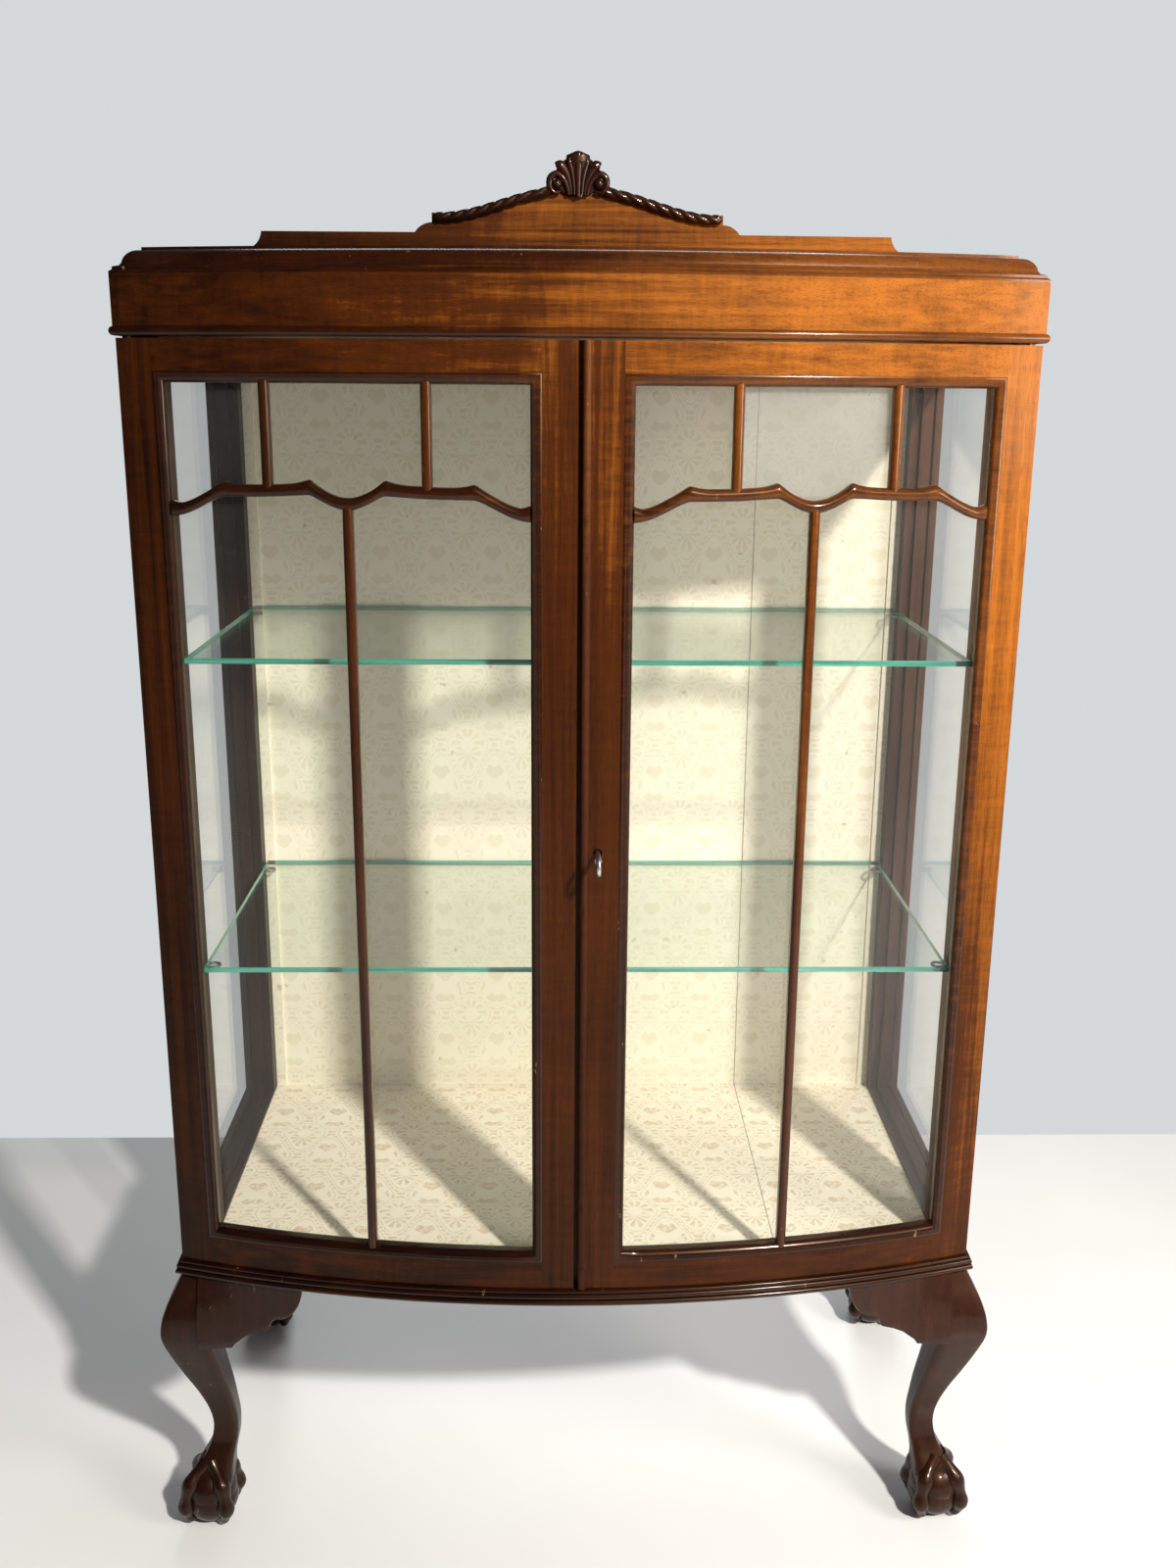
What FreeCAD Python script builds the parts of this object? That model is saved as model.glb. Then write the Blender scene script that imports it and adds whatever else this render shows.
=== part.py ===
import FreeCAD, Part
import math
import os
import Sketcher

from FreeCAD import Placement, Rotation, Vector

# A bow-fronted china cabinet with two glazed doors, on four cabriole legs.
# Millimetres, +X to the right, +Y to the back, +Z up. The origin is on the floor,
# under the middle of the whole object. Most joinery is built for the right-hand
# side and mirrored to the left.

DRIVING_SIZES = {
    # carcass
    "body_width": 920,
    "side_depth": 412,
    "corner_y": -159,
    "bow_radius": 1636,
    "leg_height": 350,
    "board_thickness": 17,
    "side_thickness": 38,
    "lip": 9,
    "rebate": 6,
    "ceiling_level": 1399,
    "ceiling_thickness": 9,
    "frieze_height": 49,
    "frieze_overhang": 2,
    "frieze_return": 8,
    "cornice_height": 26,
    "cornice_setback": 28,
    "floor_level": 384.5,
    "lining_thickness": 2,
    "rail_height": 23,
    "side_opening_top": 1363,
    "panel_thickness": 6,
    "lining_seam": 231,
    "front_post_back": 60,
    "rear_post_depth": 38,
    # gallery
    "gallery_thickness": 18,
    # glass
    "glass_thickness": 3,
    "shelf_thickness": 6,
    "shelf_width": 836,
    "shelf_depth": 382,
    "shelf_setback": 19,
    "upper_shelf_level": 1074,
    "lower_shelf_level": 724,
    # doors
    "door_bottom": 369,
    "door_top": 1397,
    "door_thickness": 22,
    "door_clearance": 1,
    "stile_width": 36,
    "left_meeting_edge": 4.5,
    "right_meeting_edge": 1,
    "flat_inner": 40,
    "top_flat": 31,
    "bottom_flat": 33.5,
    "moulding_width": 11,
    "moulding_depth": 14,
    "bar_width": 10.5,
    "bar_depth": 13,
    "bar_spacing": 80,
    # hinges, lock and bolts
    "pivot_x": 449,
    "pivot_pin_radius": 2.5,
    "pivot_clearance": 0.06,
    "pivot_reach": 8,
    "plate_thickness": 2,
    "key_x": 18,
    "key_level": 886,
    "keyhole_radius": 4.6,
    "key_radius": 2.7,
    "key_reach": 54,
}

doc = FreeCAD.newDocument("china_cabinet")
sheet = doc.addObject("Spreadsheet::Sheet", "dims")
for row, (alias, number) in enumerate(DRIVING_SIZES.items(), start=1):
    sheet.set("A%d" % row, alias)
    sheet.set("B%d" % row, str(number))
    sheet.setAlias("B%d" % row, alias)
doc.recompute()

# Expressions of the driving sizes that several sub-parts share.
HALF = "dims.body_width / 2"
BACK = "dims.corner_y + dims.side_depth"
AXIS_Y = "dims.corner_y + sqrt(dims.bow_radius ^ 2 - (dims.body_width / 2) ^ 2)"
BOARD_TOP = "dims.leg_height + dims.board_thickness"
CEILING_TOP = "dims.ceiling_level + dims.ceiling_thickness"
FRIEZE_TOP = CEILING_TOP + " + dims.frieze_height"
CORNICE_TOP = FRIEZE_TOP + " + dims.cornice_height"
INNER = HALF + " - dims.side_thickness"
PANE_OUTER = HALF + " - dims.lip"
DOOR_HEIGHT = "dims.door_top - dims.door_bottom"
STILE_INNER = HALF + " - dims.stile_width"
RAIL_LENGTH = STILE_INNER + " - dims.flat_inner"
SIGHT_LOW = "dims.door_bottom + dims.bottom_flat + dims.moulding_width"
SIGHT_HIGH = "dims.door_top - dims.top_flat - dims.moulding_width"
DOOR_MIDDLE = "(dims.body_width / 2 - dims.stile_width + dims.flat_inner) / 2"
PIVOT_Y = AXIS_Y + " - sqrt((dims.bow_radius - dims.door_thickness / 2) ^ 2 - dims.pivot_x ^ 2)"
SHELF_FRONT = "dims.corner_y + dims.shelf_setback"

# How far cutting solids run past what they cut.
PAST = 40
# How far in front of the corners a cutting solid starts, past the whole bow.
BOW_REACH = 100

sub_parts = []


def value(expression):
    """The number that an expression of the driving dimensions comes to."""
    sheet.set("D1", "=" + expression.replace("dims.", ""))
    sheet.recompute()
    return float(sheet.get("D1"))


def less(expression, amount):
    return "(%s) - (%s)" % (expression, amount)


def plus(expression, amount):
    return "(%s) + (%s)" % (expression, amount)


def finished(thing, node):
    """Mark an object as a sub-part: its label names its file."""
    thing.Label = node
    sub_parts.append(thing)
    return thing


def place(thing, x="0", y="0", z="0"):
    thing.setExpression("Placement.Base.x", str(x))
    thing.setExpression("Placement.Base.y", str(y))
    thing.setExpression("Placement.Base.z", str(z))


def block(name, low, size):
    """A box from its low corner and its size, three expressions each."""
    box = doc.addObject("Part::Box", name)
    box.setExpression("Length", str(size[0]))
    box.setExpression("Width", str(size[1]))
    box.setExpression("Height", str(size[2]))
    place(box, *low)
    return box


def rod(name, centre, radius, height, axis=Vector(0, 0, 1)):
    """A cylinder that starts at centre and runs along axis."""
    cylinder = doc.addObject("Part::Cylinder", name)
    cylinder.Placement = Placement(Vector(), Rotation(Vector(0, 0, 1), axis))
    cylinder.setExpression("Radius", str(radius))
    cylinder.setExpression("Height", str(height))
    place(cylinder, *centre)
    return cylinder


def cut(name, base, tool):
    result = doc.addObject("Part::Cut", name)
    result.Base = base
    result.Tool = tool
    return result


def common(name, first, second):
    result = doc.addObject("Part::MultiCommon", name)
    result.Shapes = [first, second]
    return result


def fuse(name, pieces):
    result = doc.addObject("Part::MultiFuse", name)
    result.Shapes = pieces
    return result


def group(name, pieces):
    """Separate solids that share one node."""
    result = doc.addObject("Part::Compound", name)
    result.Links = pieces
    return result


def mirrored(name, source, normal=Vector(1, 0, 0), base=Vector()):
    result = doc.addObject("Part::Mirroring", name)
    result.Source = source
    result.Normal = normal
    result.Base = base
    return result


def bow_cylinder(name, offset, low, height):
    """A full cylinder about the bow's axis, offset outwards from the door's face."""
    return rod(name, ("0", AXIS_Y, low), "dims.bow_radius + (%s)" % offset, height)


def bowed_block(name, x_low, x_size, z_low, z_size, front, back):
    """A block between two concentric faces of the bow, offset from the door's face."""
    stock_depth = BOW_REACH + PAST
    stock = block(name + "_stock", (x_low, less("dims.corner_y", BOW_REACH), z_low),
                  (x_size, stock_depth, z_size))
    outside = bow_cylinder(name + "_outside", front, z_low, z_size)
    inside = bow_cylinder(name + "_inside", back, less(z_low, 1), plus(z_size, 2))
    return cut(name, common(name + "_front", stock, outside), inside)


def new_body(name, x="0", y="0", z="0"):
    body = doc.addObject("PartDesign::Body", name)
    place(body, x, y, z)
    return body


def origin_feature(body, role):
    return next(item for item in body.Origin.OriginFeatures if item.Role == role)


def attached_sketch(body, plane, name):
    sketch = body.newObject("Sketcher::SketchObject", name)
    sketch.AttachmentSupport = [(origin_feature(body, plane), "")]
    sketch.MapMode = "FlatFace"
    return sketch


def minor_arc(start, end, radius, bulge):
    """The short arc between two points; bulge +1 curves to the right of the way."""
    chord = end - start
    middle = (start + end) * 0.5
    rise = math.sqrt(max(radius ** 2 - (chord.Length / 2) ** 2, 0.0))
    side = Vector(chord.y, -chord.x, 0).normalize() * bulge
    centre = middle - side * rise
    top = centre + side * radius
    return Part.Arc(start, top, end) if bulge > 0 else Part.Arc(end, top, start)


def draw_outline(sketch, steps):
    """A closed outline. Each step is the vertex that it starts from, as two
    expressions, and, where the edge is an arc, its radius and its bulge."""
    points = [Vector(value(str(step[0])), value(str(step[1])), 0) for step in steps]
    for index, step in enumerate(steps):
        start = points[index]
        end = points[(index + 1) % len(points)]
        if len(step) == 4:
            sketch.addGeometry(minor_arc(start, end, step[2], step[3]), False)
        else:
            sketch.addGeometry(Part.LineSegment(start, end), False)
    ends = []
    for index in range(len(steps)):
        backwards = len(steps[index]) == 4 and steps[index][3] < 0
        ends.append((2, 1) if backwards else (1, 2))
    for index in range(len(steps)):
        following = (index + 1) % len(steps)
        sketch.addConstraint(Sketcher.Constraint(
            "Coincident", index, ends[index][1], following, ends[following][0]))
    for index, step in enumerate(steps):
        hold_point(sketch, index, ends[index][0], str(step[0]), str(step[1]))
        if len(step) == 4:
            sketch.addConstraint(Sketcher.Constraint("Radius", index, step[2]))


def hold_point(sketch, edge, end, x, y):
    """Hold one end of an edge at two expressions, measured from the origin."""
    for kind, axis, expression in (("DistanceX", -2, x), ("DistanceY", -1, y)):
        number = value(expression)
        if abs(number) < 1e-9:
            sketch.addConstraint(Sketcher.Constraint("PointOnObject", edge, end, axis))
            continue
        index = sketch.addConstraint(
            Sketcher.Constraint(kind, -1, 1, edge, end, number))
        sketch.setExpression("Constraints[%d]" % index, expression)


def padded(name, plane, steps, length, at=("0", "0", "0"), backwards=False):
    """A body with one padded outline."""
    body = new_body(name, *at)
    sketch = attached_sketch(body, plane, name + "_outline")
    draw_outline(sketch, steps)
    pad = body.newObject("PartDesign::Pad", name + "_pad")
    pad.Profile = sketch
    pad.Reversed = backwards
    pad.setExpression("Length", str(length))
    body.Tip = pad
    return body


def swept_about_bow(name, steps):
    """A moulding whose section, as offset and level, is turned about the bow's axis."""
    section = []
    for offset, level, *arc in steps:
        turned_arc = (arc[0], -arc[1]) if arc else ()
        section.append(("-(dims.bow_radius + %s)" % offset, level) + turned_arc)
    body = new_body(name, y=AXIS_Y)
    sketch = attached_sketch(body, "YZ_Plane", name + "_section")
    draw_outline(sketch, section)
    turned = body.newObject("PartDesign::Revolution", name + "_turned")
    turned.Profile = sketch
    turned.ReferenceAxis = (origin_feature(body, "Z_Axis"), [""])
    turned.Midplane = True
    turned.Angle = 2 * (BOW_SLOPE + 4)
    body.Tip = turned
    return body


def mitre_block(name, keeps_front):
    """A cutter on one side of the mitre at the front right corner."""
    reach = 150
    block_size = 2 * reach
    lean = math.radians(MITRE_ANGLE)
    start = 0 if keeps_front else -block_size
    x_shift = -reach * math.cos(lean) + start * math.sin(lean)
    y_shift = reach * math.sin(lean) + start * math.cos(lean)
    cutter = doc.addObject("Part::Box", name)
    cutter.Length = block_size
    cutter.Width = block_size
    cutter.setExpression("Height", "dims.ceiling_level + 400")
    cutter.Placement = Placement(Vector(), Rotation(Vector(0, 0, 1), -MITRE_ANGLE))
    place(cutter, plus(HALF, x_shift), plus("dims.corner_y", y_shift))
    return cutter


def mitred_moulding(name, steps):
    """A moulding round the front and both sides: the bowed front, then the returns."""
    side_steps = [(plus(HALF, step[0]),) + tuple(step[1:]) for step in steps]
    keeps_front = mitre_block(name + "_mitre", True)
    other_end = mirrored(name + "_other_mitre", keeps_front)
    bowed = swept_about_bow(name + "_bow", steps)
    front = cut(name + "_front", cut(name + "_one_end", bowed, keeps_front), other_end)
    strip = padded(name + "_strip", "XZ_Plane", side_steps,
                   plus("dims.side_depth", PAST), ("0", less("dims.corner_y", PAST), "0"), True)
    right = cut(name + "_right", strip, mitre_block(name + "_side_mitre", False))
    return front, right, mirrored(name + "_left", right)


BOW_SLOPE = math.degrees(math.asin(value(HALF) / value("dims.bow_radius")))
MITRE_ANGLE = (90 - BOW_SLOPE) / 2

# ---------------------------------------------------------------- legs and base

# A leg's template: level, how far its outer faces stand outside the body's corner,
# and how far its inner faces stand inside it.
LEG_TEMPLATE = [
    (350, 1, 33), (334, 9, 33), (316, 18, 33), (295, 25, 33), (275, 26, 33),
    (250, 19, 33.5), (212, 6, 38), (182, -5, 42), (152, -14, 45), (128, -17.5, 47),
    (106, -16, 46), (86, -8, 41), (68, 3, 36), (50, 9, 33),
]
LEG_EDGE_RADIUS = 8
FOOT_INSIDE = 12
BALL_RADIUS = 31
BALL_LEVEL = 29.65
TOE_REACH = 35
TOE_RADIUS = 8.5
TOE_LOW_ANGLE = -34
TOE_HIGH_ANGLE = 78


def rounded_square(x_low, y_low, size, level, radius):
    """A square wire with rounded corners, level with the floor."""
    face = Part.makePlane(size, size, Vector(x_low, y_low, level))
    solid = face.extrude(Vector(0, 0, 1))
    uprights = [edge for edge in solid.Edges if abs(edge.tangentAt(edge.FirstParameter).z) > 0.9]
    rounded = solid.makeFillet(radius, uprights)
    bottom = min(rounded.Faces, key=lambda side: side.CenterOfMass.z)
    return bottom.OuterWire


def toe(centre, heading):
    """One claw: a bent finger over the ball, in the upright plane of its heading."""
    sweep = TOE_HIGH_ANGLE - TOE_LOW_ANGLE
    finger = Part.makeTorus(TOE_REACH, TOE_RADIUS, Vector(), Vector(0, 0, 1), -180, 180, sweep)
    low = math.radians(TOE_LOW_ANGLE)
    finger.rotate(Vector(), Vector(1, 0, 0), 90)
    finger.rotate(Vector(), Vector(0, 1, 0), -TOE_LOW_ANGLE)
    tip_at = Vector(TOE_REACH * math.cos(low), 0, TOE_REACH * math.sin(low))
    tip = Part.makeSphere(TOE_RADIUS, tip_at)
    claw = finger.fuse(tip)
    claw.rotate(Vector(), Vector(0, 0, 1), heading)
    claw.translate(centre)
    return claw


def leg_shape():
    """The front right cabriole leg with its ball and claw foot."""
    corner = Vector(value(HALF), value("dims.corner_y"), 0)
    wires = [rounded_square(corner.x - inside, corner.y - outside, outside + inside, level,
                            LEG_EDGE_RADIUS) for level, outside, inside in LEG_TEMPLATE]
    shank = Part.makeLoft(wires, True, False)
    centre = corner + Vector(-FOOT_INSIDE, FOOT_INSIDE, BALL_LEVEL)
    ball = Part.makeSphere(BALL_RADIUS, centre)
    claws = [toe(centre, 45 + 90 * quarter) for quarter in range(4)]
    leg = shank.fuse([ball] + claws)
    room = Part.makeBox(400, 400, 400, Vector(corner.x - 200, corner.y - 200, 0))
    return leg.common(room).removeSplitter()


def make_legs():
    """Four legs; the front right one comes back, for the brackets to be fitted to."""
    leg = doc.addObject("Part::Feature", "leg")
    leg.Shape = leg_shape()
    middle = Vector(0, value("dims.corner_y + dims.side_depth / 2"), 0)
    left = mirrored("left_leg", leg)
    finished(leg, "front_right_leg")
    finished(left, "front_left_leg")
    finished(mirrored("rear_leg", leg, Vector(0, 1, 0), middle), "rear_right_leg")
    finished(mirrored("rear_leg_left", left, Vector(0, 1, 0), middle), "rear_left_leg")
    return leg


# A knee bracket's outline: how far inside the body's corner, and the drop below the
# board that it is glued under. An arc's radius and bulge follow where there is one.
BRACKET_OUTLINE = [
    (33, 0), (33, 88), (56, 88), (65, 78, 28, 1), (100, 62), (104, 58, 9, -1),
    (108, 51), (116, 48, 34, 1), (143, 0),
]


def bracket_steps(start, sign):
    steps = []
    for inside, drop, *arc in BRACKET_OUTLINE:
        steps.append((plus(start, sign * inside), less("dims.leg_height", drop)) + tuple(arc))
    return steps


def make_brackets(leg):
    """Shaped brackets between each knee and the board, on the front and the sides."""
    thickness = 22
    front_plate = padded("bracket_plate", "XZ_Plane", bracket_steps(HALF, -1),
                         BOW_REACH + PAST, ("0", less("dims.corner_y", BOW_REACH), "0"), True)
    front_face = bow_cylinder("bracket_face", 0, "0", "dims.leg_height")
    back_face = bow_cylinder("bracket_back", -thickness, "-1", "dims.leg_height + 2")
    bowed = cut("front_bracket_bowed", common("bracket_bowed", front_plate, front_face), back_face)
    front = cut("front_bracket", bowed, leg)
    side_plate = padded("side_bracket_plate", "YZ_Plane", bracket_steps("dims.corner_y", 1),
                        thickness, (less(HALF, thickness), "0", "0"))
    side = cut("side_bracket", side_plate, leg)
    middle = Vector(0, value("dims.corner_y + dims.side_depth / 2"), 0)
    rear = mirrored("rear_side_bracket", side, Vector(0, 1, 0), middle)
    right = [front, side, rear]
    left = [mirrored(piece.Name + "_left", piece) for piece in right]
    finished(group("brackets", right + left), "knee_brackets")


def bowed_board(name, level, thickness, offset, half_width, back):
    """A board of the whole plan, its front edge parallel to the bow."""
    front = less("dims.corner_y", BOW_REACH)
    stock = block(name + "_stock", ("-(%s)" % half_width, front, level),
                  ("2 * (%s)" % half_width, less(back, front), thickness))
    return common(name, stock, bow_cylinder(name + "_edge", offset, level, thickness))


# The left door's bolts run in the middle of its meeting stile.
BOLT_X = -22
BOLT_WIDTH = 8
BOLT_DEPTH = 4
BOLT_ROOM = 0.4
BOLT_Y = AXIS_Y + " - dims.bow_radius + dims.door_thickness - %s" % (BOLT_DEPTH + 0.8)
PLATE_LONG = 38
PLATE_HALF = 6


def bolt_slot(name, low, height):
    """The hole that a door bolt runs in."""
    room = 2 * BOLT_ROOM
    return block(name, (BOLT_X - BOLT_WIDTH / 2 - BOLT_ROOM, less(BOLT_Y, BOLT_ROOM), low),
                 (BOLT_WIDTH + room, BOLT_DEPTH + room, height))


def plate_recess(name, low, height):
    """The place of a carcass pivot plate, on the right."""
    return block(name, ("dims.pivot_x - 30", less(PIVOT_Y, PLATE_HALF), low),
                 (PLATE_LONG, 2 * PLATE_HALF, height))


def make_boards():
    base = bowed_board("base", "dims.leg_height", "dims.board_thickness", 0, HALF, BACK)
    recess_low = less(BOARD_TOP, "dims.plate_thickness")
    recess = plate_recess("base_recess", recess_low, "dims.plate_thickness")
    holes = fuse("base_holes", [recess, mirrored("base_recess_left", recess),
                                bolt_slot("base_bolt_hole", less(BOARD_TOP, 9), "9")])
    finished(cut("base_board_cut", base, holes), "bottom_board")

    ceiling = bowed_board("ceiling", "dims.ceiling_level", "dims.ceiling_thickness", 0, HALF, BACK)
    recess = plate_recess("ceiling_recess", "dims.ceiling_level", "dims.plate_thickness")
    holes = fuse("ceiling_holes", [recess, mirrored("ceiling_recess_left", recess),
                                   bolt_slot("ceiling_bolt_hole", "dims.ceiling_level", "7")])
    finished(cut("ceiling_cut", ceiling, holes), "top_board")

    behind_door = "-(dims.door_thickness + 1.5)"
    floor = bowed_board("floor", BOARD_TOP, less("dims.floor_level", BOARD_TOP), behind_door,
                        INNER, less(BACK, "dims.panel_thickness"))
    finished(floor, "inner_floor")


def lined(name, level, height, y_low, y_size):
    """A lining in two drops that meet at the seam."""
    gap = 0.9
    slack = 0.5
    low = plus("-(%s)" % INNER, slack)
    left = block(name + "_left", (low, y_low, level), (less("dims.lining_seam", low), y_size, height))
    right = block(name + "_right", (plus("dims.lining_seam", gap), y_low, level),
                  (less(less(INNER, slack), plus("dims.lining_seam", gap)), y_size, height))
    return left, right


def make_linings():
    front = less("dims.corner_y", BOW_REACH)
    lining_back = less(BACK, "dims.panel_thickness + dims.lining_thickness")
    trim = bow_cylinder("lining_trim", "-(dims.door_thickness + 2.5)", "dims.floor_level",
                        "dims.lining_thickness")
    left, right = lined("floor_drop", "dims.floor_level", "dims.lining_thickness", front,
                        less(lining_back, front))
    drops = [common("floor_lining_left", left, trim), common("floor_lining_right", right, trim)]
    finished(group("floor_linings", drops), "floor_lining")

    strip_width = 13
    strip_depth = 3
    level = "dims.floor_level + dims.lining_thickness"
    height = less("dims.ceiling_level", level)
    left, right = lined("back_drop", level, height, lining_back, "dims.lining_thickness")
    strip = block("corner_strip", (less(INNER, strip_width + 0.5), less(lining_back, strip_depth), level),
                  (strip_width, strip_depth, height))
    finished(group("back_linings", [left, right, strip, mirrored("corner_strip_left", strip)]),
             "back_lining")


def reed(offset, low, height, rise):
    """Half of an octagon: the section of one reed, from its lower edge."""
    return [
        ("%s" % offset, low), ("%s" % (offset + 0.8 * rise), plus(low, 0.2 * height)),
        ("%s" % (offset + rise), plus(low, 0.4 * height)),
        ("%s" % (offset + rise), plus(low, 0.6 * height)),
        ("%s" % (offset + 0.8 * rise), plus(low, 0.8 * height)),
    ]


def make_plinth():
    """A reeded moulding under the doors: a bead over two larger reeds."""
    low = "dims.leg_height"
    steps = [("0", low)]
    steps += reed(4.5, low, 7, 3.5)
    steps += reed(3.6, plus(low, 7), 6.6, 2.9)
    steps += reed(2.6, plus(low, 13.6), 4, 1.6)
    steps += [("2.2", plus(low, 17.6)), ("0", plus(low, 17.6))]
    front, right, left = mitred_moulding("plinth", steps)
    finished(front, "plinth_moulding_front")
    finished(group("plinth_returns", [right, left]), "plinth_moulding_returns")


# ---------------------------------------------------------------- side frames

def make_posts():
    front_back = "dims.corner_y + dims.front_post_back"
    pane_front = less(front_back, "dims.rebate")
    height = less("dims.ceiling_level", BOARD_TOP)
    steps = [
        (INNER, less("dims.corner_y", 10)), (HALF, less("dims.corner_y", 10)), (HALF, front_back),
        (PANE_OUTER, front_back), (PANE_OUTER, pane_front), (INNER, pane_front),
    ]
    stock = padded("front_post_stock", "XY_Plane", steps, height, ("0", "0", BOARD_TOP))
    face = bow_cylinder("front_post_face", "-(dims.door_thickness + dims.door_clearance)",
                        BOARD_TOP, height)
    front = finished(common("front_post", stock, face), "right_front_post")
    finished(mirrored("front_post_left", front), "left_front_post")

    rear_front = less(BACK, "dims.rear_post_depth")
    pane_back = plus(rear_front, "dims.rebate")
    panel_front = less(BACK, "dims.panel_thickness")
    panel_edge = plus(INNER, 18)
    steps = [
        (INNER, pane_back), (PANE_OUTER, pane_back), (PANE_OUTER, rear_front), (HALF, rear_front),
        (HALF, BACK), (panel_edge, BACK), (panel_edge, panel_front), (INNER, panel_front),
    ]
    rear = finished(padded("rear_post", "XY_Plane", steps, height, ("0", "0", BOARD_TOP)),
                    "right_rear_post")
    finished(mirrored("rear_post_left", rear), "left_rear_post")


def make_side_frames():
    """Rails, a pane and four glazing beads on each side, between the posts."""
    front = "dims.corner_y + dims.front_post_back"
    length = less(less(BACK, "dims.rear_post_depth"), front)
    tongue_front = less(front, "dims.rebate")
    tongue_length = plus(length, "2 * dims.rebate")
    core_width = less(PANE_OUTER, INNER)
    bottom_core = block("bottom_rail_core", (INNER, tongue_front, BOARD_TOP),
                        (core_width, tongue_length, "dims.rail_height"))
    bottom_lip = block("bottom_rail_lip", (PANE_OUTER, front, BOARD_TOP),
                       ("dims.lip", length, "dims.rail_height + dims.rebate"))
    core_low = plus("dims.side_opening_top", "dims.rebate")
    top_core = block("top_rail_core", (INNER, tongue_front, core_low),
                     (core_width, tongue_length, less("dims.ceiling_level", core_low)))
    top_lip = block("top_rail_lip", (PANE_OUTER, front, "dims.side_opening_top"),
                    ("dims.lip", length, less("dims.ceiling_level", "dims.side_opening_top")))
    bottom = fuse("bottom_rail", [bottom_core, bottom_lip])
    top = fuse("top_rail", [top_core, top_lip])
    rails = [bottom, top, mirrored("bottom_rail_left", bottom), mirrored("top_rail_left", top)]
    finished(group("rails", rails), "side_rails")

    slack = 0.4
    pane_low = plus(BOARD_TOP, "dims.rail_height + %s" % slack)
    pane = block("side_pane", (less(PANE_OUTER, "dims.glass_thickness"), plus(tongue_front, slack), pane_low),
                 ("dims.glass_thickness", less(tongue_length, 2 * slack),
                  less(less(core_low, slack), pane_low)))
    finished(group("panes_of_sides", [pane, mirrored("side_pane_left", pane)]), "side_panes")

    bead_width = 14
    bead_x = less(less(PANE_OUTER, "dims.glass_thickness"), bead_width)
    bead_low = plus(BOARD_TOP, "dims.rail_height")
    bead_height = less(core_low, bead_low)
    beads = [
        block("bead_front", (bead_x, tongue_front, bead_low), (bead_width, "dims.rebate", bead_height)),
        block("bead_rear", (bead_x, plus(front, length), bead_low),
              (bead_width, "dims.rebate", bead_height)),
        block("bead_low", (bead_x, front, bead_low), (bead_width, length, "dims.rebate")),
        block("bead_high", (bead_x, front, "dims.side_opening_top"),
              (bead_width, length, "dims.rebate")),
    ]
    left = [mirrored(bead.Name + "_left", bead) for bead in beads]
    finished(group("beads_of_sides", beads + left), "side_glazing_beads")


def make_back():
    edge = plus(INNER, 18)
    panel = block("panel", ("-(%s)" % edge, less(BACK, "dims.panel_thickness"), BOARD_TOP),
                  ("2 * (%s)" % edge, "dims.panel_thickness", less("dims.ceiling_level", BOARD_TOP)))
    finished(panel, "back_panel")


# ---------------------------------------------------------------- frieze, cornice, gallery

def make_frieze():
    outer = plus(HALF, "dims.frieze_overhang")
    inner = less(outer, "dims.frieze_return")
    thickness = 18
    front = bowed_block("frieze_board", "-(%s)" % inner, "2 * (%s)" % inner, CEILING_TOP,
                        "dims.frieze_height", "dims.frieze_overhang",
                        less("dims.frieze_overhang", thickness))
    finished(front, "frieze_front")
    return_front = less("dims.corner_y", PAST)
    stock = block("frieze_return_stock", (inner, return_front, CEILING_TOP),
                  ("dims.frieze_return", less(BACK, return_front), "dims.frieze_height"))
    right = common("frieze_return", stock, bow_cylinder("frieze_return_end", "dims.frieze_overhang",
                                                        CEILING_TOP, "dims.frieze_height"))
    finished(group("returns", [right, mirrored("frieze_return_left", right)]), "frieze_returns")
    rear = block("frieze_rear", ("-(%s)" % inner, less(BACK, thickness), CEILING_TOP),
                 ("2 * (%s)" % inner, thickness, "dims.frieze_height"))
    finished(rear, "frieze_back_rail")

    low = "dims.ceiling_level"
    bead_steps = [("0", low)] + reed(1.5, low, 9, 4) + [("1.5", plus(low, 9)), ("0", plus(low, 9))]
    finished(group("bead_round_frieze", list(mitred_moulding("frieze_bead_strip", bead_steps))),
             "frieze_bead")


def make_cornice():
    """A stepped crown over the frieze, then the board that it surrounds."""
    face = "dims.frieze_overhang"
    back_edge = 40
    steps = [
        (less(face, back_edge), FRIEZE_TOP), (face, FRIEZE_TOP), (face, plus(FRIEZE_TOP, 2)),
        (less(face, 3), plus(FRIEZE_TOP, 4)), (less(face, 3), plus(FRIEZE_TOP, 6.5)),
        (less(face, 9), plus(FRIEZE_TOP, 8)), (less(face, 11), plus(FRIEZE_TOP, 10.5), 15.5, 1),
        (less(face, 26), plus(FRIEZE_TOP, 23)), (less(face, "dims.cornice_setback"), plus(FRIEZE_TOP, 23)),
        (less(face, "dims.cornice_setback"), CORNICE_TOP), (less(face, back_edge), CORNICE_TOP),
    ]
    offsets = [("(%s)" % step[0], step[1]) + tuple(step[2:]) for step in steps]
    front, right, left = mitred_moulding("cornice", offsets)
    finished(front, "cornice_front")
    finished(group("cornice_sides", [right, left]), "cornice_returns")
    inset = less(face, back_edge)
    board = bowed_board("cornice_board", FRIEZE_TOP, "dims.cornice_height", inset,
                        plus(HALF, inset), BACK)
    finished(board, "cornice_top")


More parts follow.
